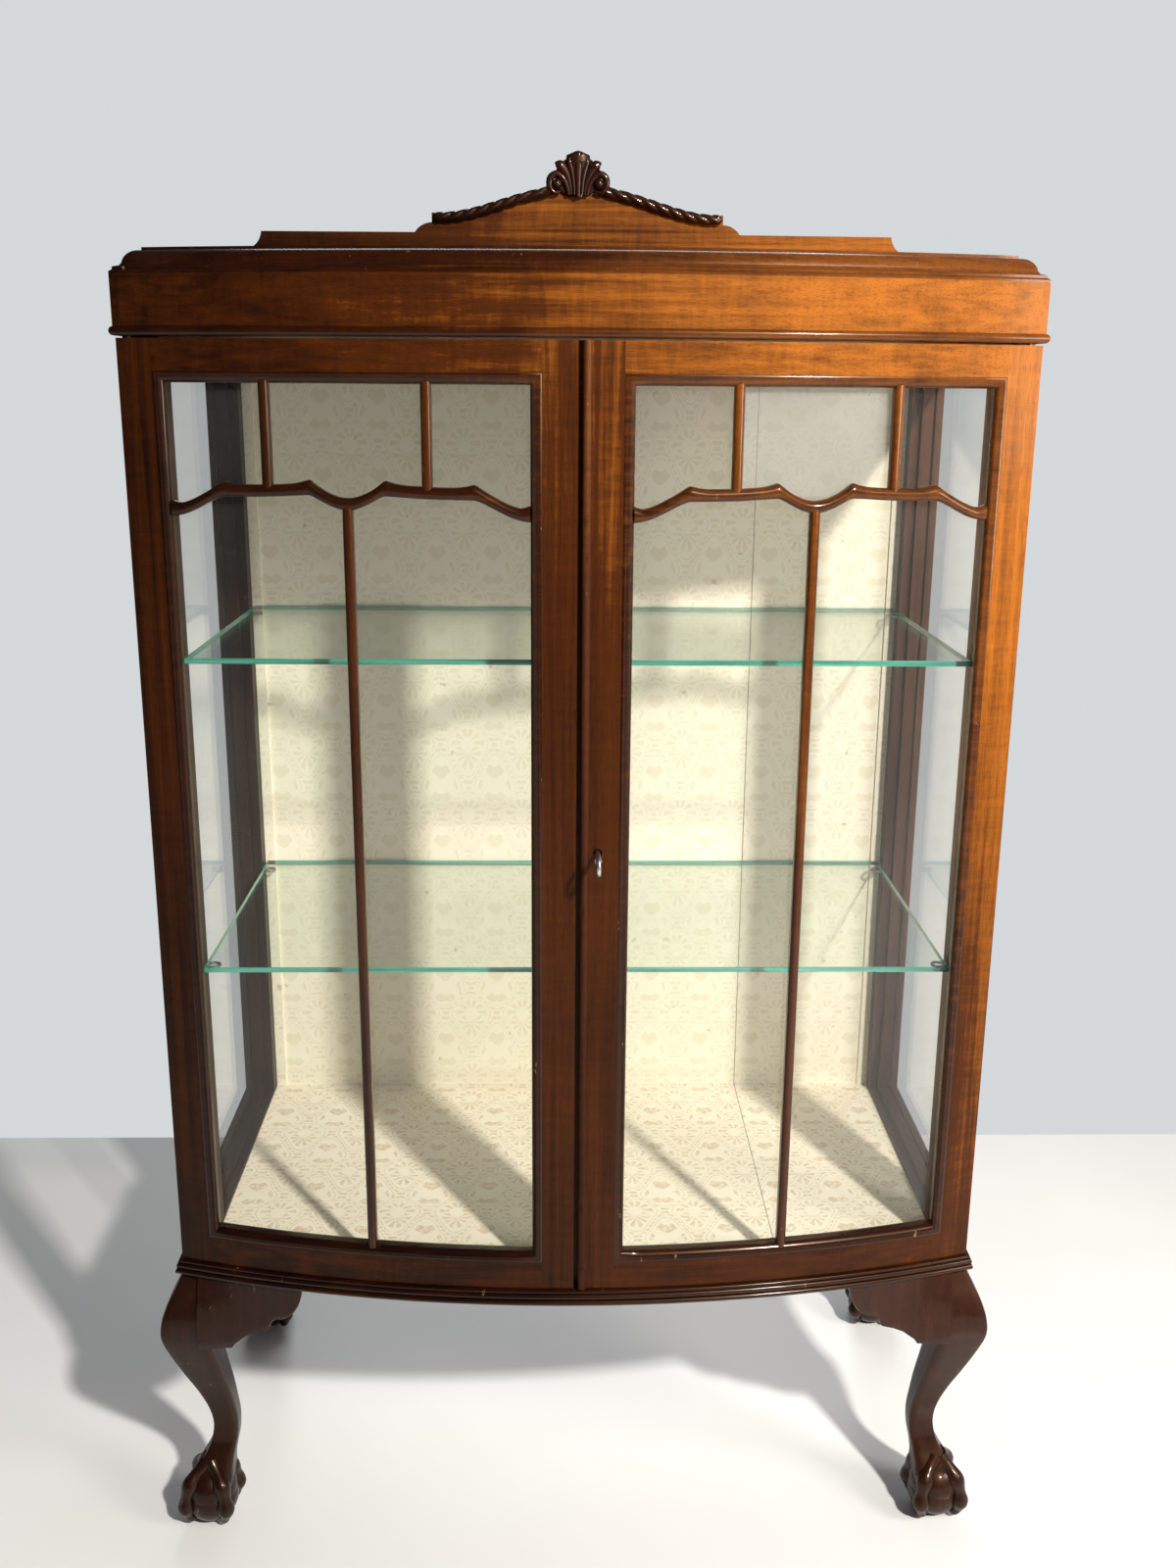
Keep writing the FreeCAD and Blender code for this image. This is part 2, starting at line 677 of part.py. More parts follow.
# The gallery's outline, right half, from its end to its middle: distance from the
# middle and height above the cornice.
GALLERY_END = [(401, 0), (401, 30, 24, -1), (386, 50), (199, 50.5, 26, 1), (178, 62)]
ROPE_END = 178
ROPE_TURN = 88
ROPE_START = 30
ROPE_OUTER_RADIUS = 212
ROPE_INNER_RADIUS = 236
ROPE_TOP = {ROPE_END: 73, ROPE_TURN: 89, ROPE_START: 104}
ROPE_BOTTOM = {ROPE_END: 62, ROPE_TURN: 78, ROPE_START: 93}
GALLERY_PEAK = 106


def mirrored_outline(outline):
    """The left half of a gallery outline, from its last point back down to its first."""
    left = []
    for index in range(len(outline) - 1, -1, -1):
        x, rise = outline[index][:2]
        arc = outline[index - 1][2:] if index else ()
        left.append((-x, plus(CORNICE_TOP, rise)) + tuple(arc))
    return left


def rope_steps():
    """The right-hand rope moulding's outline: its top edge, then its bottom edge back."""
    top = {x: plus(CORNICE_TOP, rise) for x, rise in ROPE_TOP.items()}
    bottom = {x: plus(CORNICE_TOP, rise) for x, rise in ROPE_BOTTOM.items()}
    return [
        (ROPE_END, top[ROPE_END], ROPE_OUTER_RADIUS, -1),
        (ROPE_TURN, top[ROPE_TURN], ROPE_INNER_RADIUS, 1),
        (ROPE_START, top[ROPE_START]),
        (ROPE_START, bottom[ROPE_START], ROPE_INNER_RADIUS, -1),
        (ROPE_TURN, bottom[ROPE_TURN], ROPE_OUTER_RADIUS, 1),
        (ROPE_END, bottom[ROPE_END]),
    ]


# The carved shell's outline, right half, up from its base: distance from the middle
# and height above the cornice, with each lobe's radius and bulge.
SHELL_LOBES = [(27, 93, 20, 1), (38, 110, 14, 1), (33, 126, 10, 1), (22, 136, 24, 1), (0, 145)]


def make_gallery():
    """The back board with its rope mouldings and carved shell."""
    right_end = [(x, plus(CORNICE_TOP, rise)) + tuple(arc) for x, rise, *arc in GALLERY_END]
    end_level = plus(CORNICE_TOP, ROPE_TOP[ROPE_END])
    turn_level = plus(CORNICE_TOP, ROPE_TOP[ROPE_TURN])
    right_rise = [
        (ROPE_END, end_level, ROPE_OUTER_RADIUS, -1),
        (ROPE_TURN, turn_level, ROPE_INNER_RADIUS, 1),
        (0, plus(CORNICE_TOP, GALLERY_PEAK), ROPE_INNER_RADIUS, 1),
    ]
    left_rise = [
        (-ROPE_TURN, turn_level, ROPE_OUTER_RADIUS, -1),
        (-ROPE_END, end_level),
    ]
    left_end = mirrored_outline(GALLERY_END)
    front = less(BACK, "dims.gallery_thickness")
    board = padded("gallery", "XZ_Plane", right_end + right_rise + left_rise + left_end,
                   "dims.gallery_thickness", ("0", front, "0"), True)
    finished(board, "gallery_board")

    shell_depth = 12
    right = [(x, plus(CORNICE_TOP, rise)) + tuple(arc) for x, rise, *arc in SHELL_LOBES]
    shell = padded("shell", "XZ_Plane", right[:-1] + mirrored_outline(SHELL_LOBES), shell_depth,
                   ("0", less(front, shell_depth), "0"), True)
    finished(shell, "shell_carving")

    rope_depth = 9
    strip = padded("rope_strip", "XZ_Plane", rope_steps(), rope_depth,
                   ("0", less(front, rope_depth), "0"), True)
    rope = cut("rope", strip, shell)
    finished(group("ropes", [rope, mirrored("rope_left", rope)]), "rope_mouldings")


# ---------------------------------------------------------------- shelves

def make_shelf(name, level):
    half = "dims.shelf_width / 2"
    back = plus(SHELF_FRONT, "dims.shelf_depth")
    steps = [("-" + half, SHELF_FRONT), (half, SHELF_FRONT), (half, back), ("-" + half, back)]
    body = padded(name + "_body", "XY_Plane", steps, "dims.shelf_thickness",
                  ("0", "0", less(level, "dims.shelf_thickness")))
    finished(body, name)


def make_screw_eyes():
    """Eight screw eyes in the posts, their rings flat under the shelves' corners."""
    ring_radius = 6.9
    wire = 1.75
    shank_length = 11
    centre_x = less(INNER, ring_radius + wire + 0.1)
    eyes = []
    for shelf in ("upper", "lower"):
        level = less("dims.%s_shelf_level - dims.shelf_thickness" % shelf, wire)
        for place_name, y in (("front", "dims.corner_y + 45"), ("rear", less(BACK, 28))):
            name = "%s_%s" % (shelf, place_name)
            ring = doc.addObject("Part::Torus", "ring_" + name)
            ring.Radius1 = ring_radius
            ring.Radius2 = wire
            place(ring, centre_x, y, level)
            shank = rod("shank_" + name, (less(INNER, 2), y, level), 1.5, shank_length,
                        Vector(1, 0, 0))
            eye = fuse("eye_" + name, [ring, shank])
            eyes += [eye, mirrored("eye_left_" + name, eye)]
    finished(group("screw_eyes", eyes), "shelf_screw_eyes")


def make_pivot_plates():
    """Brass centre hinges: plates let into the boards, each with its pin."""
    pieces = []
    reach = "dims.door_bottom - (%s) + dims.pivot_reach" % BOARD_TOP
    low_plate = plate_recess("low_plate", less(BOARD_TOP, "dims.plate_thickness"),
                             "dims.plate_thickness")
    low_pin = rod("low_pin", ("dims.pivot_x", PIVOT_Y, less(BOARD_TOP, 1)), "dims.pivot_pin_radius",
                  plus(reach, 1))
    pieces.append(fuse("low_pivot", [low_plate, low_pin]))
    high_plate = plate_recess("high_plate", "dims.ceiling_level", "dims.plate_thickness")
    high_pin = rod("high_pin", ("dims.pivot_x", PIVOT_Y, "dims.door_top - dims.pivot_reach"),
                   "dims.pivot_pin_radius", "dims.ceiling_level - dims.door_top + dims.pivot_reach + 1")
    pieces.append(fuse("high_pivot", [high_plate, high_pin]))
    pieces += [mirrored(piece.Name + "_left", piece) for piece in pieces]
    finished(group("pivots", pieces), "carcass_pivot_plates")


# ---------------------------------------------------------------- doors

SOCKET_BEFORE = 14
SOCKET_AFTER = 7
SOCKET_HALF = 5


def socket_place(name, low):
    return block(name, (less("dims.pivot_x", SOCKET_BEFORE), less(PIVOT_Y, SOCKET_HALF), low),
                 (SOCKET_BEFORE + SOCKET_AFTER, 2 * SOCKET_HALF, "dims.plate_thickness"))


def make_hinge_stiles():
    """Outer stiles, rounded behind about the pivot so that they clear the posts."""
    stock = bowed_block("hinge_stile_stock", STILE_INNER, "dims.stile_width", "dims.door_bottom",
                        DOOR_HEIGHT, "0", "-dims.door_thickness")
    swing = rod("hinge_swing", ("dims.pivot_x", PIVOT_Y, less("dims.door_bottom", 1)),
                "dims.door_thickness / 2 + 0.2", plus(DOOR_HEIGHT, 2))
    behind = block("hinge_behind", ("dims.pivot_x", PIVOT_Y, less("dims.door_bottom", 1)),
                   (PAST, PAST, plus(DOOR_HEIGHT, 2)))
    rounding = cut("hinge_rounding", behind, swing)
    pin_hole = "dims.pivot_pin_radius + 0.7"
    depth = "dims.pivot_reach + 2"
    holes = fuse("hinge_holes", [
        rounding,
        socket_place("low_socket_place", "dims.door_bottom"),
        socket_place("high_socket_place", "dims.door_top - dims.plate_thickness"),
        rod("low_pin_hole", ("dims.pivot_x", PIVOT_Y, "dims.door_bottom"), pin_hole, depth),
        rod("high_pin_hole", ("dims.pivot_x", PIVOT_Y, less("dims.door_top", depth)), pin_hole, depth),
    ])
    right = finished(cut("hinge_stile", stock, holes), "right_door_hinge_stile")
    finished(mirrored("hinge_stile_left", right), "left_door_hinge_stile")

    bore = rod("socket_bore", ("dims.pivot_x", PIVOT_Y, less("dims.door_bottom", 1)),
               "dims.pivot_pin_radius + dims.pivot_clearance", plus(DOOR_HEIGHT, 2))
    sockets = [cut("low_socket", socket_place("low_socket_plate", "dims.door_bottom"), bore),
               cut("high_socket", socket_place("high_socket_plate",
                                               "dims.door_top - dims.plate_thickness"), bore)]
    left = [mirrored(socket.Name + "_left", socket) for socket in sockets]
    finished(group("right_sockets", sockets), "right_door_pivot_sockets")
    finished(group("left_sockets", left), "left_door_pivot_sockets")


def make_rails():
    for name, low, height in (("top_rail", "dims.door_top - dims.top_flat", "dims.top_flat"),
                              ("bottom_rail", "dims.door_bottom", "dims.bottom_flat")):
        rail = bowed_block("door_" + name, "dims.flat_inner", RAIL_LENGTH, low, height, "0",
                           "-dims.door_thickness")
        finished(rail, "right_door_" + name)
        finished(mirrored("left_" + rail.Name, rail), "left_door_" + name)


def framed(name, near, far, low, high, width, front, back):
    """Four strips round a door's opening: uprights, and rails between them."""
    height = less(high, low)
    between = less(less(far, near), 2 * width)
    return [
        bowed_block(name + "_near", near, width, low, height, front, back),
        bowed_block(name + "_far", less(far, width), width, low, height, front, back),
        bowed_block(name + "_low", plus(near, width), between, low, width, front, back),
        bowed_block(name + "_high", plus(near, width), between, less(high, width), width, front, back),
    ]


def make_mouldings():
    """The moulding in front of the glass, and the glazing beads behind it."""
    low = "dims.door_bottom + dims.bottom_flat"
    high = "dims.door_top - dims.top_flat"
    behind_glass = "-(dims.moulding_depth + dims.glass_thickness - 0.4)"
    strips = framed("moulding", "dims.flat_inner", STILE_INNER, low, high,
                    value("dims.moulding_width"), "0.8", "-(dims.moulding_depth - 1)")
    beads = framed("glazing_bead", "dims.flat_inner", STILE_INNER, low, high, 8,
                   behind_glass, "-(dims.door_thickness - 0.4)")
    right = strips + beads
    finished(group("mouldings", right), "right_door_mouldings")
    left = [mirrored(piece.Name + "_left", piece) for piece in right]
    finished(group("mouldings_left", left), "left_door_mouldings")


# Half of the wavy bar's upper edge: distance from the door's middle and level, with
# each stretch's radius. The cusps stand at 126 and 38.
BAR_END = 181
OUTER_CUSP = 126
INNER_CUSP = 38


def from_middle(distance):
    return plus(DOOR_MIDDLE, distance)


def wavy_upper_edge():
    return [
        (from_middle(-BAR_END), "1237.5", 70, 1), (from_middle(-OUTER_CUSP), "1258", 420, 1),
        (from_middle(-INNER_CUSP), "1261.5", 56, 1), (from_middle(INNER_CUSP), "1261.5", 420, 1),
        (from_middle(OUTER_CUSP), "1258", 70, 1), (from_middle(BAR_END), "1237.5"),
    ]


def wavy_lower_edge():
    return [
        (from_middle(BAR_END), "1224.5", 90, -1), (from_middle(OUTER_CUSP - 2), "1243.5", 300, 1),
        (from_middle(INNER_CUSP + 4), "1245.5", 74, -1), (from_middle(-INNER_CUSP - 4), "1245.5", 300, 1),
        (from_middle(2 - OUTER_CUSP), "1243.5", 90, -1), (from_middle(-BAR_END), "1224.5"),
    ]


def upper_pane_region():
    """Everything above the middle line of the wavy bar."""
    return [
        (from_middle(-BAR_END - 20), "1231"), (from_middle(-BAR_END), "1231", 80, 1),
        (from_middle(1 - OUTER_CUSP), "1251"), (from_middle(-INNER_CUSP - 2), "1253.5", 65, 1),
        (from_middle(INNER_CUSP + 2), "1253.5"), (from_middle(OUTER_CUSP - 1), "1251", 80, 1),
        (from_middle(BAR_END), "1231"), (from_middle(BAR_END + 20), "1231"),
        (from_middle(BAR_END + 20), "1400"), (from_middle(-BAR_END - 20), "1400"),
    ]


def make_bars():
    """The wavy bar across each door, and the upright bars above and below it."""
    front = less("dims.corner_y", BOW_REACH)
    plate = padded("wavy_plate", "XZ_Plane", wavy_upper_edge() + wavy_lower_edge(),
                   BOW_REACH + PAST, ("0", front, "0"), True)
    face = bow_cylinder("wavy_face", "0.4", "1200", "100")
    back = bow_cylinder("wavy_back", "-dims.bar_depth", "1199", "102")
    wavy = finished(cut("wavy", common("wavy_bowed", plate, face), back), "right_door_wavy_bar")
    finished(mirrored("wavy_left", wavy), "left_door_wavy_bar")

    bars = []
    for name, middle, low, high in (
            ("upper_near", "-dims.bar_spacing", "1252", SIGHT_HIGH),
            ("upper_far", "dims.bar_spacing", "1252", SIGHT_HIGH),
            ("lower", "0", SIGHT_LOW, "1238")):
        x_low = "%s + %s - dims.bar_width / 2" % (DOOR_MIDDLE, middle)
        bar = bowed_block(name + "_bar", x_low, "dims.bar_width", low, less(high, low), "0",
                          "-dims.bar_depth")
        bars.append(cut(name + "_bar_fitted", bar, wavy))
    finished(group("bars", bars), "right_door_upright_bars")
    left = [mirrored(bar.Name + "_left", bar) for bar in bars]
    finished(group("bars_left", left), "left_door_upright_bars")


def make_panes():
    """Five curved panes in each door, which meet behind the bars."""
    slack = 0.4
    kerf = 0.4
    near = plus("dims.flat_inner", slack)
    low = plus("dims.door_bottom + dims.bottom_flat", slack)
    high = less("dims.door_top - dims.top_flat", slack)
    glass_front = "-(dims.moulding_depth - 0.8)"
    glass_back = "-(dims.moulding_depth - 0.8 + dims.glass_thickness)"
    sheet_of_glass = bowed_block("glass", near, less(RAIL_LENGTH, 2 * slack), low, less(high, low),
                                 glass_front, glass_back)
    region = padded("upper_region", "XZ_Plane", upper_pane_region(), BOW_REACH + PAST,
                    ("0", less("dims.corner_y", BOW_REACH), "0"), True)
    upper = common("upper_glass", sheet_of_glass, region)
    lower = cut("lower_glass", sheet_of_glass, region)
    split_y = less("dims.corner_y", BOW_REACH)
    splits = [block("split_" + name, ("%s + %s - %s" % (DOOR_MIDDLE, middle, kerf / 2), split_y, low),
                    (kerf, BOW_REACH + PAST, less(high, low)))
              for name, middle in (("near", "-dims.bar_spacing"), ("far", "dims.bar_spacing"),
                                   ("middle", "0"))]
    upper_panes = cut("upper_panes", upper, fuse("upper_splits", splits[:2]))
    lower_panes = cut("lower_panes", lower, splits[2])
    right = finished(group("door_glass", [upper_panes, lower_panes]), "right_door_panes")
    finished(mirrored("door_glass_left", right), "left_door_panes")


# The lock sits in the back of the right meeting stile; its bolt runs above the key.
LOCK_WIDTH = 35
LOCK_HEIGHT = 46
LOCK_DEPTH = 9.6
LOCK_WALL = 1.2
LOCK_BELOW_KEY = 20
LOCK_BOLT_HEIGHT = 9
LOCK_BOLT_DEPTH = 5
LOCK_BOLT_ABOVE_KEY = 10
LOCK_BOLT_LENGTH = 28
LOCK_BOLT_ROOM = 0.3
STILE_BACK = AXIS_Y + " - dims.bow_radius + dims.door_thickness"
LOCK_LEVEL = "dims.key_level - %s" % LOCK_BELOW_KEY
LOCK_Y = less(STILE_BACK, LOCK_DEPTH)
LOCK_BOLT_Y = plus(LOCK_Y, LOCK_WALL + 1.3)
LOCK_BOLT_LEVEL = "dims.key_level + %s" % LOCK_BOLT_ABOVE_KEY


def lock_bolt_room(name, x_low, length, room):
    return block(name, (x_low, less(LOCK_BOLT_Y, room), less(LOCK_BOLT_LEVEL, room)),
                 (length, LOCK_BOLT_DEPTH + 2 * room, LOCK_BOLT_HEIGHT + 2 * room))


def make_lock():
    """The lock case, its bolt, the keeper in the left stile, and the key."""
    case = block("case", ("dims.right_meeting_edge", LOCK_Y, LOCK_LEVEL),
                 (LOCK_WIDTH, LOCK_DEPTH, LOCK_HEIGHT))
    hollow = block("case_hollow", (plus("dims.right_meeting_edge", LOCK_WALL), plus(LOCK_Y, LOCK_WALL),
                                   plus(LOCK_LEVEL, LOCK_WALL)),
                   (LOCK_WIDTH - 2 * LOCK_WALL, LOCK_DEPTH - 2 * LOCK_WALL,
                    LOCK_HEIGHT - 2 * LOCK_WALL))
    slot = lock_bolt_room("case_slot", "0", 10, LOCK_BOLT_ROOM)
    key_way = rod("case_key_way", ("dims.key_x", less(LOCK_Y, 5), "dims.key_level"),
                  "dims.keyhole_radius", 8, Vector(0, 1, 0))
    finished(cut("lock", case, fuse("case_openings", [hollow, slot, key_way])), "lock_case")
    bolt = lock_bolt_room("bolt", "dims.right_meeting_edge + 0.5", LOCK_BOLT_LENGTH, 0)
    finished(bolt, "lock_bolt")

    keeper_height = 34
    keeper_thickness = 1.5
    keeper_plate = block("keeper_plate", ("-dims.left_meeting_edge - %s" % keeper_thickness,
                                          less(LOCK_BOLT_Y, 2.5), less(LOCK_BOLT_LEVEL, 12.5)),
                         (keeper_thickness, LOCK_BOLT_DEPTH + 5, keeper_height))
    keeper_hole = lock_bolt_room("keeper_hole", "-dims.left_meeting_edge - 20", 30, 0.7)
    finished(cut("keeper", keeper_plate, keeper_hole), "lock_keeper")


def make_key():
    """A steel key: ring bow, shank and bit."""
    face = AXIS_Y + " - dims.bow_radius"
    ring_radius = 9
    ring_wire = 2.3
    ring_y = "%s - dims.key_reach + %s" % (face, ring_radius + ring_wire)
    ring = doc.addObject("Part::Torus", "key_ring")
    ring.Radius1 = ring_radius
    ring.Radius2 = ring_wire
    ring.Placement = Placement(Vector(), Rotation(Vector(0, 0, 1), Vector(1, 0, 0)))
    place(ring, "dims.key_x", ring_y, "dims.key_level")
    shank_start = plus(ring_y, ring_radius)
    shank_end = plus(LOCK_Y, LOCK_DEPTH - LOCK_WALL - 0.9)
    shank = rod("key_shank", ("dims.key_x", shank_start, "dims.key_level"), "dims.key_radius",
                less(shank_end, shank_start), Vector(0, 1, 0))
    bit_length = 9
    bit_width = 2.4
    bit_depth = 4
    bit = block("key_bit", (less("dims.key_x", bit_width / 2), less(shank_end, bit_depth),
                            less("dims.key_level", bit_length)), (bit_width, bit_depth, bit_length))
    collar = rod("key_collar", ("dims.key_x", plus(shank_start, 6), "dims.key_level"),
                 "dims.key_radius + 1", 3, Vector(0, 1, 0))
    finished(fuse("whole_key", [ring, shank, bit, collar]), "key")


def make_meeting_stiles():
    right_width = "dims.flat_inner - dims.right_meeting_edge"
    right_stock = bowed_block("right_meeting_stock", "dims.right_meeting_edge", right_width,
                              "dims.door_bottom", DOOR_HEIGHT, "0", "-dims.door_thickness")
    recess = block("lock_recess", ("dims.right_meeting_edge", LOCK_Y, LOCK_LEVEL),
                   (LOCK_WIDTH, LOCK_DEPTH + 5, LOCK_HEIGHT))
    key_hole = rod("key_hole", ("dims.key_x", less("dims.corner_y", BOW_REACH), "dims.key_level"),
                   "dims.keyhole_radius", BOW_REACH, Vector(0, 1, 0))
    bit_slot = block("bit_slot", (less("dims.key_x", 1.6), less("dims.corner_y", BOW_REACH),
                                  "dims.key_level - 10.5"), (3.2, BOW_REACH, 10))
    openings = fuse("right_meeting_openings", [recess, key_hole, bit_slot])
    finished(cut("right_meeting", right_stock, openings), "right_door_meeting_stile")

    bead_width = 7.5
    bead = bowed_block("meeting_bead_strip", "dims.right_meeting_edge", bead_width,
                       "dims.door_bottom", DOOR_HEIGHT, "4", "0")
    finished(bead, "meeting_bead")

    left_width = "dims.flat_inner - dims.left_meeting_edge"
    left_flat = bowed_block("left_meeting_stock", "-dims.flat_inner", left_width,
                            "dims.door_bottom", DOOR_HEIGHT, "0", "-dims.door_thickness")
    # a tongue behind closes most of the gap to the right door
    tongue_gap = 0.8
    tongue_width = "dims.left_meeting_edge + dims.right_meeting_edge - %s" % tongue_gap
    tongue = bowed_block("left_meeting_tongue", "-dims.left_meeting_edge", tongue_width,
                         "dims.door_bottom", DOOR_HEIGHT, "-dims.door_thickness / 2",
                         "-dims.door_thickness")
    left_stock = fuse("left_meeting_rebated", [left_flat, tongue])
    keeper_recess = block("keeper_recess", ("-dims.left_meeting_edge - 1.5", less(LOCK_BOLT_Y, 2.5),
                                            less(LOCK_BOLT_LEVEL, 12.5)), (PAST, LOCK_BOLT_DEPTH + 5, 34))
    mortise = lock_bolt_room("bolt_mortise", "-dims.left_meeting_edge - 10", PAST, 0.7)
    grooves = [door_bolt_groove("low_groove", "dims.door_bottom"),
               door_bolt_groove("high_groove", "dims.door_top - %s" % GROOVE_LENGTH)]
    openings = fuse("left_meeting_openings", [keeper_recess, mortise] + grooves)
    finished(cut("left_meeting", left_stock, openings), "left_door_meeting_stile")


GROOVE_LENGTH = 80
DOOR_BOLT_LENGTH = 70
DOOR_BOLT_REST = 2
KNOB_FROM_END = 54
GUIDE_LEVELS = (26, 66)
GUIDE_HEIGHT = 12
GUIDE_THICKNESS = 1.2


def door_bolt_groove(name, low):
    return block(name, (BOLT_X - BOLT_WIDTH / 2 - BOLT_ROOM, less(BOLT_Y, BOLT_ROOM), low),
                 (BOLT_WIDTH + 2 * BOLT_ROOM, PAST, GROOVE_LENGTH))


def make_door_bolts():
    """Brass bolts at the top and bottom of the left meeting stile, and their guides."""
    knob_length = 9
    guides = []
    for node, low, knob_level, guide_base, direction in (
            ("left_door_bottom_bolt", "dims.door_bottom + %s" % DOOR_BOLT_REST,
             "dims.door_bottom + %s" % KNOB_FROM_END, "dims.door_bottom", 1),
            ("left_door_top_bolt", "dims.door_top - %s" % (DOOR_BOLT_REST + DOOR_BOLT_LENGTH),
             "dims.door_top - %s" % KNOB_FROM_END, "dims.door_top", -1)):
        bar = block(node + "_bar", (BOLT_X - BOLT_WIDTH / 2, BOLT_Y, low),
                    (BOLT_WIDTH, BOLT_DEPTH, DOOR_BOLT_LENGTH))
        knob = rod(node + "_knob", (BOLT_X, plus(BOLT_Y, 1), knob_level), 2.5, knob_length,
                   Vector(0, 1, 0))
        finished(fuse(node + "_whole", [bar, knob]), node)
        for number, rise in enumerate(GUIDE_LEVELS):
            level = "%s + %s" % (guide_base, direction * rise - (GUIDE_HEIGHT if direction < 0 else 0))
            guides.append(block("%s_guide_%d" % (node, number),
                                (BOLT_X - 9, plus(STILE_BACK, 0.4), level),
                                (18, GUIDE_THICKNESS, GUIDE_HEIGHT)))
    finished(group("guides", guides), "left_door_bolt_guides")


def write_sub_parts():
    doc.recompute()
    for thing in doc.Objects:
        if "Invalid" in thing.State or "Error" in thing.State:
            raise RuntimeError("%s (%s) failed: %s" % (thing.Name, thing.Label, thing.State))
    os.makedirs("parts", exist_ok=True)
    for thing in sub_parts:
        shape = thing.Shape
        if shape.isNull() or not shape.isValid() or not shape.Solids:
            raise RuntimeError("%s has no valid solid" % thing.Label)
        shape.exportStep("parts/%s.step" % thing.Label)


make_brackets(make_legs())
make_boards()
make_linings()
make_plinth()
make_posts()
make_side_frames()
make_back()
make_frieze()
make_cornice()
make_gallery()
make_shelf("upper_shelf", "dims.upper_shelf_level")
make_shelf("lower_shelf", "dims.lower_shelf_level")
make_screw_eyes()
make_pivot_plates()
make_hinge_stiles()
make_rails()
make_mouldings()
make_bars()
make_panes()
make_lock()
make_key()
make_meeting_stiles()
make_door_bolts()
write_sub_parts()
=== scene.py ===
"""The looks of the bow-fronted china cabinet, in metres, in the CAD frame."""
import math

import bpy
from mathutils import Matrix, Vector, noise


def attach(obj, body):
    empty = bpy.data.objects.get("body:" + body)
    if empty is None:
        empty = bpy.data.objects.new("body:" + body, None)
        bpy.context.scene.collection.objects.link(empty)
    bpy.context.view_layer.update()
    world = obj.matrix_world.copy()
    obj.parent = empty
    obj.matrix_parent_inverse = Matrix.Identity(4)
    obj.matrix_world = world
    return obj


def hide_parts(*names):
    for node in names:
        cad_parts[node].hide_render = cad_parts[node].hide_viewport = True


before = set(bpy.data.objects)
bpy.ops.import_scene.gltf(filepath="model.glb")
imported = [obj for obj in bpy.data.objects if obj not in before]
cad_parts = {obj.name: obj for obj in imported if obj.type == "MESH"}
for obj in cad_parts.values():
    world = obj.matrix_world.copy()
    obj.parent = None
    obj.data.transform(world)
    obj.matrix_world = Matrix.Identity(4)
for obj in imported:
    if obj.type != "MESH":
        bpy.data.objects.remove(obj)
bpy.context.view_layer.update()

# Driving sizes of the carcass, as in the CAD.
HALF = 0.460
CORNER_Y = -0.159
BACK = 0.253
BOW_RADIUS = 1.636
AXIS_Y = CORNER_Y + math.sqrt(BOW_RADIUS ** 2 - HALF ** 2)
LEG_HEIGHT = 0.350
CEILING = 1.399
CORNICE_TOP = 1.483
DOOR_BOTTOM = 0.369
DOOR_TOP = 1.397
FLAT_INNER = 0.040
STILE_INNER = 0.424
DOOR_MIDDLE = (FLAT_INNER + STILE_INNER) / 2
MOULDING = 0.011
GLASS_BOTTOM = DOOR_BOTTOM + 0.0335
GLASS_TOP = DOOR_TOP - 0.031
BAR_SPACING = 0.080
BAR_SINK = 0.0054
BAR_ROOT = -0.0078
BOARD_FRONT = BACK - 0.018

# ---------------------------------------------------------------- meshes


def bow_y(x, offset=0.0):
    """The depth of the bowed face, offset outwards, at a distance from the middle."""
    return AXIS_Y - math.sqrt((BOW_RADIUS + offset) ** 2 - x * x)


def new_mesh(name, points, faces, body, material, smooth=True, sharp=50):
    mesh = bpy.data.meshes.new(name)
    mesh.from_pydata([tuple(point) for point in points], [], faces)
    mesh.validate()
    mesh.update()
    piece = bpy.data.objects.new(name, mesh)
    bpy.context.collection.objects.link(piece)
    mesh.materials.append(material)
    for polygon in mesh.polygons:
        polygon.use_smooth = smooth
    if smooth:
        mesh.set_sharp_from_angle(angle=math.radians(sharp))
    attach(piece, body)
    return piece


def grid(rows, closed_rows=False, closed_around=True, capped=True):
    """Points and faces of a surface through rows of points with equal counts."""
    points = [point for row in rows for point in row]
    width = len(rows[0])
    faces = []
    row_steps = len(rows) if closed_rows else len(rows) - 1
    around = width if closed_around else width - 1
    for row in range(row_steps):
        following = (row + 1) % len(rows)
        for step in range(around):
            beyond = (step + 1) % width
            faces.append((row * width + step, row * width + beyond,
                          following * width + beyond, following * width + step))
    if capped and not closed_rows:
        faces.append(tuple(reversed(range(width))))
        faces.append(tuple(range((len(rows) - 1) * width, len(rows) * width)))
    return points, faces


def joined(parts):
    """Several (points, faces) pairs as one."""
    points, faces = [], []
    for some_points, some_faces in parts:
        start = len(points)
        points += some_points
        faces += [tuple(index + start for index in face) for face in some_faces]
    return points, faces


def flipped(part, side):
    """The part on its own side: mirrored to the left where side is -1."""
    points, faces = part
    if side > 0:
        return points, faces
    return [Vector((-p[0], p[1], p[2])) for p in points], [tuple(reversed(f)) for f in faces]


def smooth_path(knots, steps):
    """Points along a Catmull-Rom curve through the knots."""
    path = []
    ends = [knots[0] * 2 - knots[1]] + knots + [knots[-1] * 2 - knots[-2]]
    for index in range(len(knots) - 1):
        a, b, c, d = ends[index:index + 4]
        for step in range(steps):
            t = step / steps
            path.append(0.5 * (2 * b + (c - a) * t + (2 * a - 5 * b + 4 * c - d) * t * t
                               + (3 * b - a - 3 * c + d) * t ** 3))
    path.append(knots[-1].copy())
    return path


